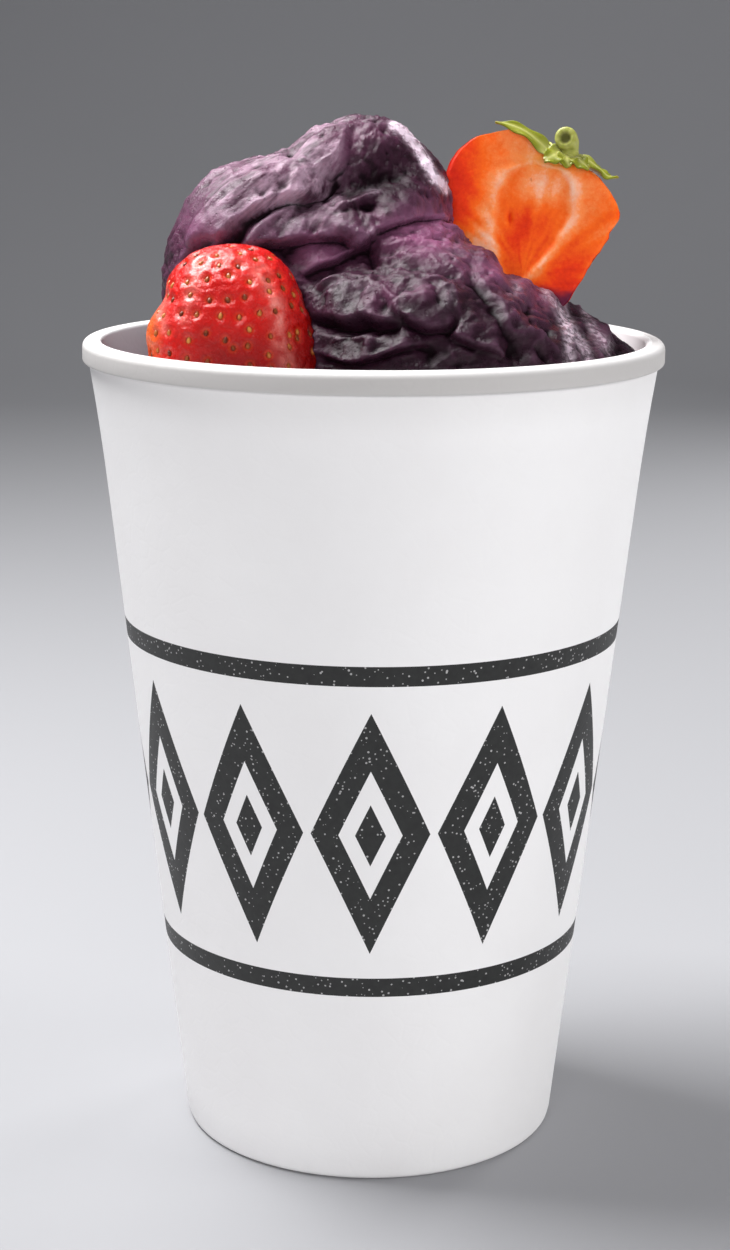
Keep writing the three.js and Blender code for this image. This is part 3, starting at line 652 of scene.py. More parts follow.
def berry_flesh_material():
    n = Nodes("strawberry_flesh")
    tone = n.attribute("tone")
    fibres = n.attribute("fibre")
    fine = n.times(n.maths("SUBTRACT", n.noise(1500, 5, 0.7), 0.5), 0.36)
    varied = n.maths("ADD", n.maths("ADD", tone, fine), n.times(fibres, 0.06))
    flesh = n.ramp(
        varied,
        (0.0, srgb(202, 24, 8)), (0.25, srgb(234, 58, 10)), (0.5, srgb(252, 104, 20)),
        (0.7, srgb(255, 144, 78)), (0.95, srgb(255, 204, 176)),
    )
    tinted = n.mix(n.attribute("leafy"), flesh, srgb(226, 176, 60))
    n.set(
        Base_Color=n.mix(n.attribute("stain"), tinted, srgb(92, 22, 52)),
        Roughness=n.range(n.noise(1100, 3), 0.3, 0.7, 0.36, 0.55),
        Specular_IOR_Level=0.35,
        Subsurface_Weight=0.2,
        Subsurface_Radius=(1, 0.35, 0.12),
        Subsurface_Scale=0.002,
        Normal=n.bump(n.noise(1600, 4, 0.6), 0.00025, 0.5),
    )
    return n.material


def leaf_material():
    n = Nodes("strawberry_leaf")
    tip = n.attribute("tip")
    rib = n.attribute("rib")
    green = n.mix(n.noise(500, 4), srgb(106, 112, 18), srgb(148, 150, 38))
    pale = n.mix(n.range(tip, 0.0, 0.45), srgb(212, 212, 142), green)
    veined = n.mix(n.times(rib, 0.5), pale, srgb(216, 214, 140))
    browned = n.mix(n.range(tip, 0.85, 1.0, 0.0, 0.4), veined, srgb(150, 112, 36))
    n.set(
        Base_Color=n.mix(n.attribute("shade"), browned, srgb(74, 74, 20)),
        Roughness=0.45,
        Subsurface_Weight=0.2,
        Subsurface_Radius=(0.6, 1, 0.2),
        Subsurface_Scale=0.0008,
        Normal=n.bump(n.noise(1800, 3), 0.0001, 0.5),
    )
    return n.material


# Foam cup

def outer_radius(z):
    straight = FOOT_RADIUS + (WALL_TOP_RADIUS - FOOT_RADIUS) * z / BAND_FOOT
    flare = max(0, z - (BAND_FOOT - FLARE_HEIGHT)) / FLARE_HEIGHT
    return straight + FLARE * flare**2


def inner_radius(z):
    return outer_radius(min(z, BAND_FOOT)) - WALL_THICKNESS


def rounded(centre, radius, start, end, steps=6):
    """Points along an arc of a profile, with angles in degrees from outward to up."""
    angles = [math.radians(start + (end - start) * i / steps) for i in range(steps + 1)]
    return [(centre[0] + radius * math.cos(a), centre[1] + radius * math.sin(a)) for a in angles]


def wall_points(radius_at, low, high):
    heights = [low + (high - low) * i / WALL_RINGS for i in range(WALL_RINGS + 1)]
    return [(radius_at(z), z) for z in heights]


def make_cup():
    inner_foot = FOOT_RADIUS - FOOT_WIDTH
    floor_edge = inner_radius(FLOOR_LEVEL + FLOOR_ROUNDING)
    lip_in = inner_radius(CUP_HEIGHT) + INNER_LIP_ROUNDING
    lip_foot = CUP_HEIGHT - INNER_LIP_ROUNDING
    profile = (
        [(0, FOOT_RECESS), (inner_foot - 1.2, FOOT_RECESS)]
        + [(inner_foot, 0.4), (inner_foot + 0.4, 0)]
        + rounded((FOOT_RADIUS - FOOT_ROUNDING, FOOT_ROUNDING), FOOT_ROUNDING, -90, -4)
        + wall_points(outer_radius, FOOT_ROUNDING + 0.6, BAND_FOOT - BAND_CREASE)
        + [(outer_radius(BAND_FOOT) - 0.05, BAND_FOOT)]
        + rounded((RIM_RADIUS - 0.5, BAND_FOOT + 0.55), 0.5, -80, 0, 4)
        + rounded((RIM_RADIUS - LIP_ROUNDING, CUP_HEIGHT - LIP_ROUNDING), LIP_ROUNDING, 0, 90)
        + rounded((lip_in, lip_foot), INNER_LIP_ROUNDING, 90, 180)
        + wall_points(inner_radius, FLOOR_LEVEL + FLOOR_ROUNDING, BAND_FOOT)[::-1]
        + rounded((floor_edge - FLOOR_ROUNDING, FLOOR_LEVEL + FLOOR_ROUNDING), FLOOR_ROUNDING, 0, -90)
        + [(0, FLOOR_LEVEL)]
    )
    cup = to_object("foam_cup_moulded", spin_profile(profile, CUP_SIDES), foam_material())
    finish_piece(cup, "foam_cup")


# Sorbet

def outside_masses(points):
    total = np.zeros(len(points))
    for centre, half in MASSES:
        scaled = np.linalg.norm((points - np.array(centre)) / np.array(half), axis=1)
        total += np.exp(-BLEND * (scaled - 1) * min(half))
    return -np.log(total) / BLEND


def outward_of_masses(points):
    """Outward direction of the blended masses' surface at points of it."""
    step = 0.05
    here = outside_masses(points)
    slopes = [outside_masses(points + step * axis) - here for axis in np.eye(3)]
    slope = np.stack(slopes, axis=1)
    return slope / np.linalg.norm(slope, axis=1)[:, None]


def reach_of_masses(directions):
    """How far the blended masses reach from the heap's centre in each direction."""
    outside = np.full(len(directions), True)
    outer = np.full(len(directions), float(SEARCH_REACH))
    while outside.any():
        outside = outside_masses(HEAP_CENTRE + directions * outer[:, None]) > 0
        outer[outside] -= 1
    low = outer
    high = outer + 1
    for _ in range(SEARCH_HALVINGS):
        middle = (low + high) / 2
        out = outside_masses(HEAP_CENTRE + directions * middle[:, None]) > 0
        high = np.where(out, middle, high)
        low = np.where(out, low, middle)
    return low


def along_line(line, x, z):
    """Distance of points of the front view from a line, how far above it they lie, and the share along it."""
    samples = spline_table([(a, b, 0) for a, b in line], FOLD_SAMPLES + 1)[:, :2]
    nearest = np.full(len(x), np.inf)
    above = np.zeros(len(x))
    along = np.zeros(len(x))
    for i, (a, b) in enumerate(zip(samples, samples[1:])):
        d = b - a
        share = np.clip(((x - a[0]) * d[0] + (z - a[1]) * d[1]) / (d @ d), 0, 1)
        off_x = x - a[0] - share * d[0]
        off_z = z - a[1] - share * d[1]
        distance = np.hypot(off_x, off_z)
        closer = distance < nearest
        nearest = np.where(closer, distance, nearest)
        above = np.where(closer, np.sign(off_z * d[0] - off_x * d[1]) * distance, above)
        along = np.where(closer, (i + share) / FOLD_SAMPLES, along)
    return nearest, above, np.clip(along, 0, 1)


def fold_heights(fold, x, z):
    """Height that a fold adds at points of the front view, and how far its lip hangs down."""
    lip, rise, groove, reach, line = fold
    _, above, along = along_line(line, x, z)
    fade = np.sqrt(np.sin(np.pi * along))
    if rise < 5:
        swelling = lip * np.clip(1 - above / (1.7 * rise), 0, 1) ** 1.4
    else:
        swelling = lip * bump(above, rise)
    hollow = (lip + groove) * bump(above, LIP_DROP) - groove * bump(above, reach)
    height = fade * np.where(above >= 0, swelling, hollow)
    hang = fade * lip * bump(above, LIP_DROP * 1.6)
    return height, hang


def soft_patches(places, x, z):
    """Sum of soft patches placed in the front view, from their place, half sizes and strength."""
    total = 0
    for (at_x, at_z), (size_x, size_z), strength in places:
        total = total + strength * bump(x - at_x, size_x) * bump(z - at_z, size_z)
    return total


def folds_seen(folds, x, z):
    heights = np.zeros(len(x))
    hangs = np.zeros(len(x))
    for fold in folds:
        height, hang = fold_heights(fold, x, z)
        heights += height
        hangs += hang
    return heights, hangs


def ridge_heights(ridge, x, z):
    height, above_width, below_width, line = ridge
    _, above, along = along_line(line, x, z)
    width = np.where(above >= 0, above_width, below_width)
    return height * np.sqrt(np.sin(np.pi * along)) * np.exp(-((np.abs(above) / width) ** 1.4))


def pit_depths(points):
    draw = random.Random(5)
    depths = np.zeros(len(points))
    for _ in range(PITS):
        centre = points[draw.randrange(len(points))]
        radius = draw.uniform(0.4, 0.95)
        depths += radius * 0.7 * np.exp(-(((points - centre) ** 2).sum(1) / radius**2))
    return depths


def sorbet_relief(points):
    """Height of the folds, lumps and grain at points of the smooth heap, and the lips' overhang."""
    x, y, z = points.T
    wander = 0.35 * noise_at(points, 5, 3.1)
    front = smoothstep(-SIDE_BLEND, SIDE_BLEND, -y)
    seen, hang = folds_seen(FRONT_FOLDS, x + wander, z + wander)
    seen += sum(ridge_heights(ridge, x + wander, z + wander) for ridge in RIDGES)
    seen += soft_patches(SWELLS, x, z)
    behind, back_hang = folds_seen(BACK_FOLDS, -x + 2 * wander, z + 2 * wander)
    folds = front * seen + (1 - front) * behind
    uneven = 0.4 * noise_at(points, 8) + 0.3 * noise_at(points, 4.2, 7.7)
    streak_space = np.stack([(x * 0.7 - z * 0.7) / 1.8, (x * 0.7 + z * 0.7) / 9, y / 5], axis=1)
    smeared = smoothstep(-3, -9, x) * smoothstep(144, 151, z)
    coarse = 0.4 - 2 * np.abs(noise_at(streak_space, 1.0))
    streaks = smeared * (0.5 * coarse + 0.22 * noise_at(streak_space, 0.45, 4.4))
    lumpy = smoothstep(LUMPY_FROM, LUMPY_FROM + LUMPY_WITHIN, x) * (1 - 0.6 * smoothstep(34, 39, x))
    lumps = lumpy * (0.7 * noise_at(points, 5, 2.2) + 0.4 * (0.4 - np.abs(noise_at(points, 4.2, 5.5)) * 2))
    flow = points * np.array([0.62, 0.8, 1.15])
    creases = np.array([
        noise.ridged_multi_fractal(Vector(place), 0.6, 2.1, 4, 1.0, 2.0) for place in flow / 4.6 + 9.4
    ])
    creased = (1 - 0.55 * lumpy) * (1 - 0.75 * smeared) * 0.42 * (creases - creases.mean())
    crumbs = (0.2 + 0.1 * lumpy) * (0.4 - 2 * np.abs(noise_at(points, 2.4, 8.1))) * (1 - 0.8 * smeared)
    calm = 1 - 0.9 * bump(x - 5, 6) * bump(z - 157, 5) - 0.8 * bump(x, 7) * bump(z - 131.5, 2)
    grain = 0.16 * noise_at(points, 1.3, 4.1) + 0.1 * noise_at(points, 0.7, 6.3)
    relief = folds + uneven + streaks + calm * (lumps + creased + crumbs) + grain - pit_depths(points)
    return relief, front * hang + (1 - front) * back_hang


def whole_berry_distance(points):
    """Rough distance of each point from the whole strawberry's skin."""
    local = (points - np.array(WHOLE_TIP)) @ np.array(Matrix.Rotation(WHOLE_LEAN, 3, "Y").transposed())
    table = spline_table([(r, h, 0) for r, h in WHOLE_PROFILE], 200)
    radius = np.interp(-local[:, 2] / WHOLE_LENGTH, table[:, 1], table[:, 0], 0, 0) * WHOLE_RADIUS
    beside = np.hypot(local[:, 0], local[:, 1] / WHOLE_DEPTH_SHARE) - radius
    return np.abs(np.maximum(beside, local[:, 2]))


def shape_heap(points):
    """Moves points of the plain dome to the heap's surface, inside the wall."""
    rel = points - HEAP_CENTRE
    wall_reach = np.linalg.norm(rel, axis=1)
    direction = rel / wall_reach[:, None]
    angle = np.arcsin(np.clip(direction[:, 2], -1, 1))
    surface = HEAP_CENTRE + direction * reach_of_masses(direction)[:, None]
    relief, hang = sorbet_relief(surface)
    outward = outward_of_masses(surface)
    contact = bump(whole_berry_distance(surface), CONTACT_REACH)
    surface = surface + outward * (relief + CONTACT_RISE * contact)[:, None]
    surface[:, 2] -= OVERHANG * hang
    share = smoothstep(0, SHOULDER_ANGLE, angle)[:, None]
    plain = HEAP_CENTRE + direction * wall_reach[:, None]
    shaped = plain * (1 - share) + surface * share
    radius = np.hypot(shaped[:, 0], shaped[:, 1])
    room = np.array([inner_radius(z) for z in shaped[:, 2]]) - WALL_GAP
    squeeze = np.where((shaped[:, 2] < CUP_HEIGHT) & (radius > room), room / np.maximum(radius, 1e-6), 1)
    shaped[:, :2] *= squeeze[:, None]
    return shaped


def heap_profile():
    bottom = FLOOR_LEVEL + WALL_GAP
    floor_edge = inner_radius(FLOOR_LEVEL + FLOOR_ROUNDING) - WALL_GAP
    start = bottom + FLOOR_ROUNDING
    profile = [(0, bottom), (floor_edge - FLOOR_ROUNDING, bottom), (floor_edge, start)]
    for i in range(1, FILL_RINGS + 1):
        z = start + (FILL_LEVEL - start) * i / FILL_RINGS
        profile.append((inner_radius(z) - WALL_GAP, z))
    radius = inner_radius(FILL_LEVEL) - WALL_GAP
    for i in range(1, HEAP_RINGS):
        angle = i / HEAP_RINGS * math.pi / 2
        profile.append((radius * math.cos(angle), FILL_LEVEL + radius * math.sin(angle)))
    return profile + [(0, FILL_LEVEL + radius)]


def crowd_to_front(points):
    """Turns points about Z so that the columns lie closer together at the front."""
    radius = np.hypot(points[:, 0], points[:, 1])
    turn = np.arctan2(points[:, 0], -points[:, 1])
    turn = turn - FRONT_DENSER * np.sin(turn)
    return np.stack([radius * np.sin(turn), -radius * np.cos(turn), points[:, 2]], axis=1)


def smoothed(values, links, rounds):
    """Values at the vertices after so many rounds of averaging with their neighbours."""
    first, second = links.T
    count = np.bincount(first, minlength=len(values)) + np.bincount(second, minlength=len(values))
    for _ in range(rounds):
        total = np.zeros_like(values)
        for axis in range(values.shape[1]):
            total[:, axis] = np.bincount(first, values[second, axis], len(values))
            total[:, axis] += np.bincount(second, values[first, axis], len(values))
        values = (values + total / count[:, None]) / 2
    return values


def hollows_and_crests(bm, points):
    """How far each vertex lies below or above its surroundings, in millimetres."""
    links = np.array([(edge.verts[0].index, edge.verts[1].index) for edge in bm.edges])
    bm.normal_update()
    normals = np.array([vertex.normal[:] for vertex in bm.verts])
    fine = smoothed(points, links, CREASE_STEPS)
    broad = smoothed(fine, links, CREASE_STEPS * 6)
    return ((fine - points) * normals).sum(1), ((broad - points) * normals).sum(1)


def sorbet_paint(bm, points, heap):
    """How hollow, raised, clear, low and like a scraped sheet each place of the sorbet is, and where it has
    pale drips or painted highlights; hollows and the low front take painted shade, crests and the sheet
    painted highlight.
    """
    below, deep = hollows_and_crests(bm, points)
    x, y, z = points.T
    # Painted shade: hollows are painted darker, and the hollow under the peak most of all
    shade_under_peak = bump(x - 1, 7.5) * bump(z - 158, 4.2) * smoothstep(4, 0, y)
    hollow = smoothstep(0.02, 0.25, below) * 0.6 + smoothstep(0.1, 0.9, deep) * 0.9 + 0.8 * shade_under_peak
    hollow = np.clip(hollow, 0, 1)
    # Painted highlight: crests, and the scraped sheet on the left, are painted paler
    crest = smoothstep(0.03, 0.28, -below) * 0.32 + smoothstep(0.25, 1.1, -deep) * 0.22
    sheet = smoothstep(-3.6, -6, x) * smoothstep(149, 157, z) * smoothstep(8, 0, y) * 0.95
    sheet *= 1 - 0.55 * smoothstep(-19, -29, x)
    # Pale drips of the sorbet's own, and painted highlights on the rolled edge and the lit places
    drips_and_rim_highlight = 0.6 * sum(bump(along_line(line, x, z)[0], 0.8) for line in DRIPS)
    drips_and_rim_highlight += 4 * bump(along_line(RIM_HIGHLIGHT, x, z)[0], 0.6)
    drips_and_highlights = drips_and_rim_highlight + 0.35 * soft_patches(HIGHLIGHT_PATCHES, x, z)
    behind = 0.35 * smoothstep(0, 8, y) * smoothstep(0, 0.6, noise_at(points, 11, 2.5))
    clear = soft_patches(CLEAR_PATCHES, x, z)
    clear = np.clip(clear * smoothstep(2, -2, y) + behind, 0, 1)
    # Painted shade: the low front is painted darker
    low = smoothstep(150, 138, z - 0.25 * np.maximum(x, 0)) * smoothstep(6, -4, y) * smoothstep(-12, -4, x)
    return {
        "hollow": hollow * heap,
        "crest": np.clip(crest + 0.95 * sheet * (1 - hollow), 0, 1) * heap,
        "sheet": sheet,
        "drips_and_highlights": np.clip(drips_and_highlights * smoothstep(6, 0, y), 0, 4),
        "clear": clear,
        "low": low * (1 - 0.4 * np.clip(crest, 0, 1)) * (1 - 0.6 * clear),
    }


def make_sorbet(cutters):
    bm = spin_profile(heap_profile(), HEAP_SIDES)
    points = crowd_to_front(vertex_array(bm))
    heap = points[:, 2] > FILL_LEVEL + 1e-3
    points[heap] = shape_heap(points[heap])
    set_vertices(bm, points)
    paint_all(bm, sorbet_paint(bm, points, heap))
    sorbet = to_object("acai_sorbet_heap", bm, sorbet_material())
    for cutter in cutters:
        cut = sorbet.modifiers.new("socket", "BOOLEAN")
        cut.operation = "DIFFERENCE"
        cut.solver = "MANIFOLD"
        cut.object = cutter
    bake_modifiers(sorbet)
    for cutter in cutters:
        bpy.data.objects.remove(cutter)
    finish_piece(sorbet, "acai_sorbet")


# Strawberries

def whole_point(share, turn):
    """Point of the whole strawberry's smooth skin, from its base at share 0 to its tip at 1."""
    r, h, _ = spline([(r, h, 0) for r, h in WHOLE_PROFILE], 1 - share)
    radius = max(0, r) * WHOLE_RADIUS
    radius *= 1 - 0.03 * math.cos(4 * turn) * smoothstep(0.05, 0.25, h)
    radius *= 1 + 0.03 * noise.noise((2 * math.sin(turn), 2 * math.cos(turn), 5 * h))
    side = bump(math.remainder(turn + math.pi / 2, 2 * math.pi), 0.75)
    z = -h * WHOLE_LENGTH
    radius += side * (1.1 * bump(z + 12.5, 3.2) - 0.8 * bump(z + 7.6, 1.6))
    edge = 0.2 * bump(turn - 0.55, 0.16) - 0.3 * bump(turn - 0.95, 0.25)
    radius += edge * smoothstep(0.08, 0.3, h)
    radius += 0.22 * noise.noise((5 * math.sin(turn), 5 * math.cos(turn), 13 * h + 4))
    return Vector((radius * math.sin(turn), -radius * WHOLE_DEPTH_SHARE * math.cos(turn), z))


def half_point(share, turn):
    """Point of the half's smooth surface. The front quarter turns either way lie on the cut."""
    z, left, right = spline(HALF_ROWS, share)
    width = max(0, right - left) / 2
    middle = (left + right) / 2
    if abs(turn) <= math.pi / 2:
        return Vector((middle + width * turn / (math.pi / 2), 0, z))
    return Vector((middle + width * math.sin(turn), -width * HALF_DEPTH_SHARE * math.cos(turn), z))


def seed_places(point_at, first, last, turns, seed):
    """Places of seeds on a berry in staggered rings, evenly spaced over its skin."""
    draw = random.Random(seed)
    low, high = turns
    steps = 400
    shares = [first + (last - first) * i / steps for i in range(steps + 1)]
    places = []
    gone = 0
    row = 0
    for a, b in zip(shares, shares[1:]):
        middle_turn = (low + high) / 2
        gone += (point_at(b, middle_turn) - point_at(a, middle_turn)).length
        if gone < PIT_SPACING * PIT_ROWS:
            continue
        gone = 0
        row += 1
        ring = [point_at(b, low + (high - low) * i / 24) for i in range(25)]
        around = sum((q - p).length for p, q in zip(ring, ring[1:]))
        count = max(3, round(around / PIT_SPACING))
        for i in range(count):
            part = (i + (row % 2) / 2 + draw.uniform(-0.2, 0.2)) / count
            places.append((b + draw.uniform(-0.03, 0.022), low + (high - low) * part))
    return places


def skin_frame(point_at, share, turn):
    """A point of the skin with its outward direction and the direction towards the tip."""
    step = 0.01
    here = point_at(share, turn)
    along = (point_at(min(share + step, 1), turn) - point_at(max(share - step, 0), turn)).normalized()
    around = (point_at(share, turn + step) - point_at(share, turn - step)).normalized()
    outward = around.cross(along).normalized()
    return here, outward, along


def press_pits(bm, points, frames, skin):
    """Sinks a pit round each seed in the skin and marks it for the material."""
    tree = KDTree(len(frames))
    for i, (here, _, _) in enumerate(frames):
        tree.insert(here, i)
    tree.balance()
    pits = np.zeros(len(points))
    for i, point in enumerate(points):
        if not skin[i]:
            continue
        _, index, distance = tree.find(Vector(point))
        outward = np.array(frames[index][1])
        depth = PIT_DEPTH * bump(distance, PIT_RADIUS) - 0.1 * bump(distance - 1.35, 0.5)
        points[i] -= outward * depth
        pits[i] = bump(distance, PIT_RADIUS)
    paint(bm, "pit", pits)
    return points


def make_seeds(name, frames, place, node, material, draw_seed):
    """All the seeds of a berry as one piece, each lying in its pit."""
    draw = random.Random(draw_seed)
    bm = bmesh.new()
    for here, outward, along in frames:
        made = bmesh.ops.create_uvsphere(bm, u_segments=8, v_segments=6, radius=1)["verts"]
        for vertex in made:
            taper = 1 - 0.38 * vertex.co.z
            vertex.co.x *= taper
            vertex.co.y *= taper
        size = draw.uniform(0.85, 1.12)
        across = outward.cross(along).normalized()
        basis = Matrix((across, outward, along)).transposed().to_4x4()
        spin = Matrix.Rotation(draw.uniform(-0.35, 0.35), 4, "Y")
        grow = Matrix.Diagonal((*[s * size for s in SEED_SIZE], 1))
        lie = Matrix.Translation(here - outward * (PIT_DEPTH - SEED_RISE))
        bmesh.ops.transform(bm, matrix=place @ lie @ basis @ spin @ grow, verts=made)
    bmesh.ops.recalc_face_normals(bm, faces=bm.faces)
    seeds = to_object(name, bm, material)
    finish_piece(seeds, node)


def grown_copy(name, bm, gap):
    """A slightly larger copy of a berry, to cut its socket with."""
    copy = bm.copy()
    copy.normal_update()
    for vertex, shift in [(v, v.normal * gap) for v in copy.verts]:
        vertex.co += shift
    return to_object(name, copy)


def make_whole_berry(skin_material, seed_colour):
    place = Matrix.Translation(WHOLE_TIP) @ Matrix.Rotation(-WHOLE_LEAN, 4, "Y")
    bm = unit_shell(WHOLE_RINGS, WHOLE_SIDES)
    shares, turns = shell_places(bm)
    points = np.array([whole_point(share, turn) for share, turn in zip(shares, turns)])
    places = seed_places(whole_point, 0.3, 0.985, (-math.pi, math.pi), 11)
    frames = [skin_frame(whole_point, share, turn) for share, turn in places]
    points = press_pits(bm, points, frames, np.full(len(points), True))
    # Painted light and shade: paler and more orange on the upper left, where light shines through the skin,
    # and deeper red low on the right, where less light falls
    lit_side = smoothstep(-8.5, -13.5, points[:, 0]) * smoothstep(-26, -9, points[:, 2])
    shaded_side = smoothstep(-7, -17, points[:, 2]) * smoothstep(-12, -2, points[:, 0])
    paint(bm, "redness_and_shading", 0.5 - 0.5 * lit_side + 0.4 * shaded_side)
    x, y, z = points.T
    # Painted sheen: pale pink streaks where reflected light would lie
    painted_sheen = sum(strength * bump(along_line(line, x, z)[0], SHEEN_WIDTH) for strength, line in SHEEN_LINES)
    paint(bm, "painted_sheen", np.clip(painted_sheen, 0, 0.7) * smoothstep(2, -2, y))
    set_vertices(bm, points)
    bmesh.ops.transform(bm, matrix=place, verts=bm.verts)
    bmesh.ops.recalc_face_normals(bm, faces=bm.faces)
    cutter = grown_copy("whole_socket", bm, SOCKET_GAP)
    berry = to_object("whole_strawberry_skin", bm, skin_material)
    finish_piece(berry, "whole_strawberry")
    make_seeds("whole_strawberry_seeds", frames, place, "whole_strawberry", seed_colour, 21)
    return cutter


def cut_face_paint(points):
    """Tone, fibres, stain and leafy tint of the cut face, and the depth of its relief."""
    x, _, z = points.T
    rows = spline_table(CORE_ROWS, 200)
    left = np.interp(z, rows[:, 0], rows[:, 1])
    right = np.interp(z, rows[:, 0], rows[:, 2])
    middle = (left + right) / 2
    half = np.maximum((right - left) / 2, 0.3)
    wobble = 0.35 * noise_at(points, 2.4, 1.7)
    beyond = np.maximum(z - 9.8, 0) + np.maximum(-11 - z, 0)
    distance = np.abs(x - middle) - half + beyond + wobble
    inside = smoothstep(0.4, -1.4, distance)
    turn = np.arctan2(z + 8, x + 1)
    fibre_space = np.stack([turn * 9, np.hypot(x + 1, z + 8) / 6, np.zeros(len(x))], axis=1)
    fibre = noise_at(fibre_space, 1.0)
    on_right = smoothstep(middle, middle + 2, x)
    width = np.where(distance > 0, 2.4 - 0.8 * on_right, 0.9)
    vein = bump(distance, width) * (0.7 + 0.25 * on_right + 0.3 * noise_at(points, 3, 8.8))
    vein *= 1 - 0.75 * bump(x - 1, 4.4) * smoothstep(5, 8, z)
    cloud = bump(x - 1, 5.2) * bump(z - 6.6, 3.6)
    # Painted shade: the dented middle of the face is painted darker
    dark = bump(x + 1.6 - 0.25 * z * (z < 0), 2.3) * bump(z + 0.8, 4.6)
    tone = 0.5 + 0.32 * vein + 0.34 * cloud - 0.06 * inside - 0.2 * dark + 0.1 * fibre
    tone -= 0.4 * smoothstep(-6.5, -12.5, x) * smoothstep(-4, 3, z)
    tone -= 0.3 * bump(x - 6, 4) * bump(z + 8, 4.4)
    tone += 0.1 * bump(x - 9.5, 3) * bump(z - 5, 3.4)
    tone += (0.17 + 0.12 * fibre) * bump(x + 8, 2.6) * bump(z + 3, 4.4)
    tone += 0.08 * smoothstep(8, 12, z) - 0.26 * smoothstep(-7, -13, z)
    # Painted shade: darker along the dented crack
    crack = bump(x + 3.2, 0.35) * bump(z - 1.2, 0.9)
    tone -= 0.3 * crack
    stain = smoothstep(-9.6, -11.6, z + 0.9 * fibre - 0.12 * np.abs(x - 5))
    leafy = 0.6 * bump(x - 5, 4.5) * bump(z - 10.6, 1.5)
    relief = 0.3 * inside + 0.5 * dark - 0.22 * vein + 0.6 * crack
    relief += 0.1 * noise_at(points, 1.2, 3.3) + 0.05 * fibre
    return {"tone": tone, "fibre": fibre, "stain": stain, "leafy": leafy}, relief


def make_half_berry(skin_material, seed_colour):
    place = Matrix.Translation(HALF_ORIGIN) @ Matrix.Rotation(HALF_LEAN, 4, "X")
    bm = unit_shell(HALF_RINGS, HALF_SIDES)
    shares, turns = shell_places(bm)
    points = np.array([half_point(share, turn) for share, turn in zip(shares, turns)])
    quarter = math.pi / 2
    on_cut = np.abs(turns) <= quarter + 1e-6
    width_share = np.clip(turns / quarter, -1, 1)
    paints, relief = cut_face_paint(points)
    paint_all(bm, paints)
    flat = smoothstep(1, 0.9, np.abs(width_share)) * smoothstep(0, 0.06, shares) * smoothstep(1, 0.94, shares)
    points[:, 1] += np.where(on_cut, relief * flat + 0.35 * smoothstep(0.93, 1, np.abs(width_share)), 0)
    notch = 0.5 * bump(points[:, 0] - 13.4, 1.2) * bump(points[:, 2] + 1.2, 0.7)
    edge = 0.3 * noise_at(points, 2.2, 5.1) - notch
    points[:, 0] += edge * np.sign(points[:, 0])
    places = seed_places(half_point, 0.12, 0.96, (quarter + 0.1, 3 * quarter - 0.1), 31)
    wrapped = [(share, math.remainder(turn, 2 * math.pi)) for share, turn in places]
    frames = [skin_frame(half_point, share, turn) for share, turn in wrapped]
    points = press_pits(bm, points, frames, ~on_cut)
    paint(bm, "redness_and_shading", np.full(len(points), 0.45))
    set_vertices(bm, points)
    for face in bm.faces:
        face.material_index = 0 if all(abs(v.co.y) < 1.6 and on_cut[v.index] for v in face.verts) else 1
    bmesh.ops.transform(bm, matrix=place, verts=bm.verts)
    bmesh.ops.recalc_face_normals(bm, faces=bm.faces)
    cutter = grown_copy("half_socket", bm, SOCKET_GAP)
    half = to_object("strawberry_half_cut", bm, berry_flesh_material(), skin_material)
    finish_piece(half, "strawberry_half")
    make_seeds("strawberry_half_seeds", frames, place, "strawberry_half", seed_colour, 41)
    return cutter


def crown_layers(bm):
    return [bm.verts.layers.float.new(name) for name in ("tip", "rib", "shade")]


def heading(route, share):
    """Direction of a smooth route at a share of the way along it."""
    return (spline(route, min(share + 0.02, 1)) - spline(route, max(share - 0.02, 0))).normalized()


def make_sepal(bm, width, facing, route, layers):
    """One leaf of the crown, cupped and waved, following its middle line."""
    tip_layer, rib_layer, _ = layers
    before = set(bm.verts)
    bmesh.ops.create_grid(bm, x_segments=26, y_segments=8, size=0.5)
    for vertex in [v for v in bm.verts if v not in before]:
        share = vertex.co.x + 0.5
        side = vertex.co.y * 2
        here = spline(route, share)
        ahead = heading(route, share)
        across = Vector(facing).cross(ahead).normalized()
        lift = ahead.cross(across).normalized()
        half = width / 2 * (math.sin(math.pi * (0.22 + 0.78 * share)) ** 0.85 + 0.02)
        ruffle = 0.38 * math.sin(17 * share + 2 * side + 3 * width) * side * side
        vertex.co = here + across * side * half + lift * (0.12 * side * side * half + ruffle - 0.1)
        vertex[tip_layer] = share
        vertex[rib_layer] = bump(side, 0.22)


def make_stem(bm, layers):
    """The short stem, bent to the front, with its dished cut end."""
    tip_layer, rib_layer, shade_layer = layers
    last = None
    for i in range(STEM_RINGS + 1):
        share = i / STEM_RINGS
        here = spline(STEM_ROUTE, share)
        ahead = heading(STEM_ROUTE, share)
        radius = spline([(r, 0, 0) for r in STEM_RADII], share).x
        rounding = math.sqrt(1 - 0.35 * max(0, (share - 0.88) / 0.12) ** 2)
        turned = ahead.to_track_quat("Z", "Y").to_matrix().to_4x4()
        ring = bmesh.ops.create_circle(
            bm, cap_ends=i in (0, STEM_RINGS), segments=STEM_SIDES, radius=radius * rounding,
            matrix=Matrix.Translation(here) @ turned
        )["verts"]
        cap = list({face for vertex in ring for face in vertex.link_faces})
        for j, vertex in enumerate(ring):
            vertex[tip_layer] = 0.4
            vertex[rib_layer] = 0.5 + 0.2 * math.sin(j * 2.1)
        edges = list({edge for vertex in ring for edge in vertex.link_edges})
        if last:
            bmesh.ops.bridge_loops(bm, edges=last + edges)
        last = edges
    for width, height in STEM_DISH:
        bmesh.ops.inset_region(bm, faces=cap, thickness=width, depth=height)
    for face in cap:
        for vertex in face.verts:
            vertex[tip_layer] = 0.4
            vertex[shade_layer] = 0.9
            for edge in vertex.link_edges:
                edge.other_vert(vertex)[shade_layer] = 0.9


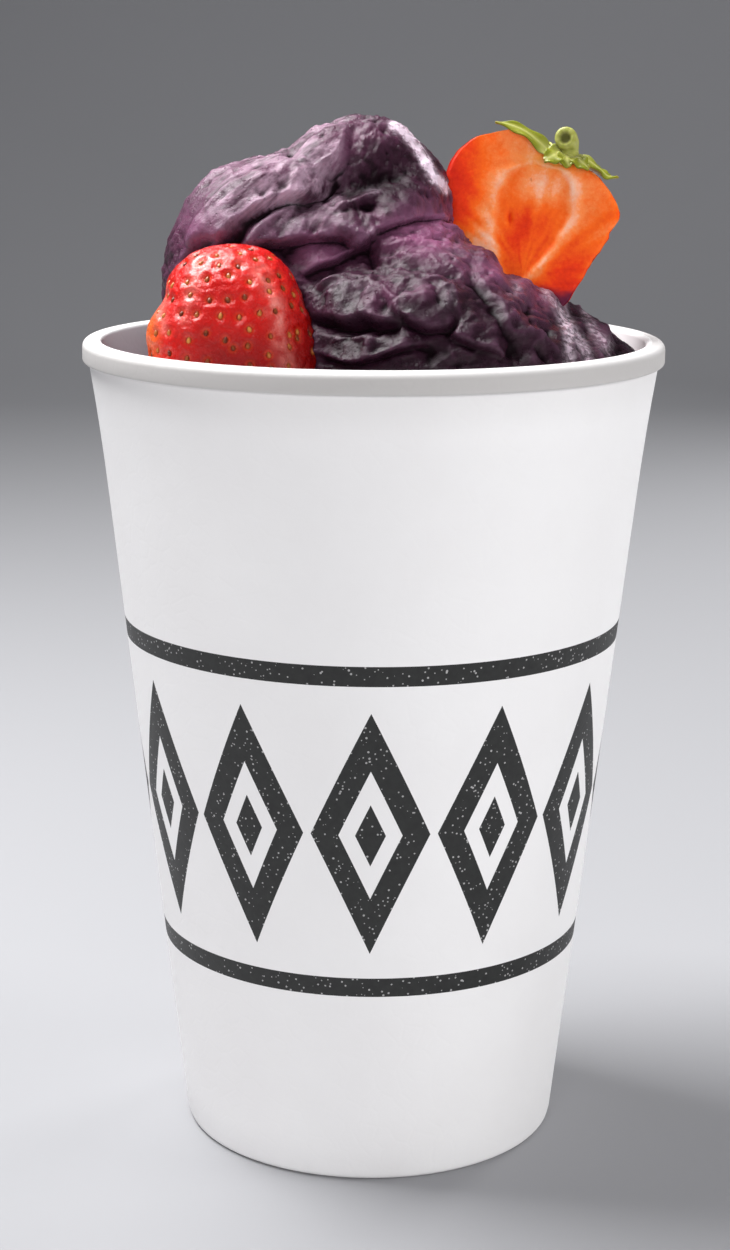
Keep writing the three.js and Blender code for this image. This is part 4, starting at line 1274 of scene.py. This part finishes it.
def make_crown():
    material = leaf_material()
    stem = bmesh.new()
    make_stem(stem, crown_layers(stem))
    bmesh.ops.recalc_face_normals(stem, faces=stem.faces)
    stalk = to_object("strawberry_stem", stem, material)
    finish_piece(stalk, "strawberry_crown")
    leaves = bmesh.new()
    layers = crown_layers(leaves)
    for width, facing, route in SEPALS:
        make_sepal(leaves, width, facing, route, layers)
    bmesh.ops.recalc_face_normals(leaves, faces=leaves.faces)
    sepals = to_object("strawberry_sepals", leaves, material)
    thick = sepals.modifiers.new("thickness", "SOLIDIFY")
    thick.thickness = LEAF_THICKNESS * MM
    thick.offset = 0
    smooth = sepals.modifiers.new("smooth", "SUBSURF")
    smooth.levels = 1
    smooth.render_levels = 1
    finish_piece(sepals, "strawberry_crown")


# Studio

def paper_material():
    n = Nodes("studio_paper")
    paper = srgb(158, 158, 161)
    shaded = (*[0.97 * channel for channel in paper[:3]], 1)
    n.set(Base_Color=n.mix(n.noise(4, 2), paper, shaded), Roughness=0.9)
    return n.material


def make_stage():
    """A pale floor that sweeps up into a backdrop behind the cup."""
    bm = bmesh.new()
    bend = [math.radians(7.5 * i) for i in range(1, 13)]
    sweep = [(-2.5, 0), (0.9, 0)]
    sweep += [(0.9 + 0.5 * math.sin(angle), 0.5 - 0.5 * math.cos(angle)) for angle in bend]
    sweep += [(1.4, 3)]
    verts = [bm.verts.new((-3, y, z)) for y, z in sweep]
    edges = [bm.edges.new(pair) for pair in zip(verts, verts[1:])]
    made = bmesh.ops.extrude_edge_only(bm, edges=edges)["geom"]
    moved = [item for item in made if isinstance(item, bmesh.types.BMVert)]
    bmesh.ops.translate(bm, vec=(6, 0, 0), verts=moved)
    bmesh.ops.recalc_face_normals(bm, faces=bm.faces)
    mesh = bpy.data.meshes.new("studio_floor")
    bm.to_mesh(mesh)
    bm.free()
    mesh.shade_smooth()
    mesh.materials.append(paper_material())
    link("studio_floor", mesh)


def add_light(name, place, target, size, power, seen_in_gloss=True):
    light = bpy.data.lights.new(name, "AREA")
    light.shape = "RECTANGLE"
    light.size, light.size_y = size
    light.energy = power
    obj = link(name, light)
    obj.location = place
    obj.rotation_euler = (Vector(target) - Vector(place)).to_track_quat("-Z", "Y").to_euler()
    obj.visible_glossy = seen_in_gloss


def make_lights():
    heap = (0, 0, 0.14)
    add_light("key_top_left", (-0.25, 0.1, 0.66), heap, (0.34, 0.34), 9)
    add_light("rim_back_right", (0.5, 0.6, 0.32), heap, (0.22, 0.5), 3, seen_in_gloss=False)
    add_light("side_right", (0.7, -0.1, 0.2), (0, 0, 0.06), (0.3, 0.6), 2.8, seen_in_gloss=False)
    add_light("front_fill", (0.0, -1.1, 0.25), (0, 0, 0.06), (0.9, 0.7), 7.9, seen_in_gloss=False)
    world = bpy.data.worlds.new("studio")
    bpy.context.scene.world = world
    world.use_nodes = True
    background = world.node_tree.nodes["Background"]
    background.inputs["Color"].default_value = (0.94, 0.95, 1, 1)
    background.inputs["Strength"].default_value = 0.24


def make_camera():
    camera = bpy.data.cameras.new("photo_view")
    camera.sensor_width = SENSOR
    camera.lens = FOCAL_PIXELS / PHOTO_HEIGHT * SENSOR
    camera.clip_start = 0.01
    pitch, yaw, roll = CAMERA_PITCH, CAMERA_YAW, CAMERA_ROLL
    forward = Vector((math.sin(yaw) * math.cos(pitch), math.cos(yaw) * math.cos(pitch), -math.sin(pitch)))
    level = Vector((math.cos(yaw), -math.sin(yaw), 0))
    upward = level.cross(forward)
    right = math.cos(roll) * level + math.sin(roll) * upward
    up = math.cos(roll) * upward - math.sin(roll) * level
    obj = link("photo_view", camera)
    turn = Matrix((right, up, -forward)).transposed().to_4x4()
    obj.matrix_world = Matrix.Translation(CAMERA_AT) @ turn
    bpy.context.scene.camera = obj


skin = berry_skin_material()
seed_colour = seed_material()
make_camera()
make_cup()
sockets = [make_whole_berry(skin, seed_colour), make_half_berry(skin, seed_colour)]
make_sorbet(sockets)
make_crown()
make_stage()
make_lights()
bpy.context.scene.view_settings.view_transform = "Standard"
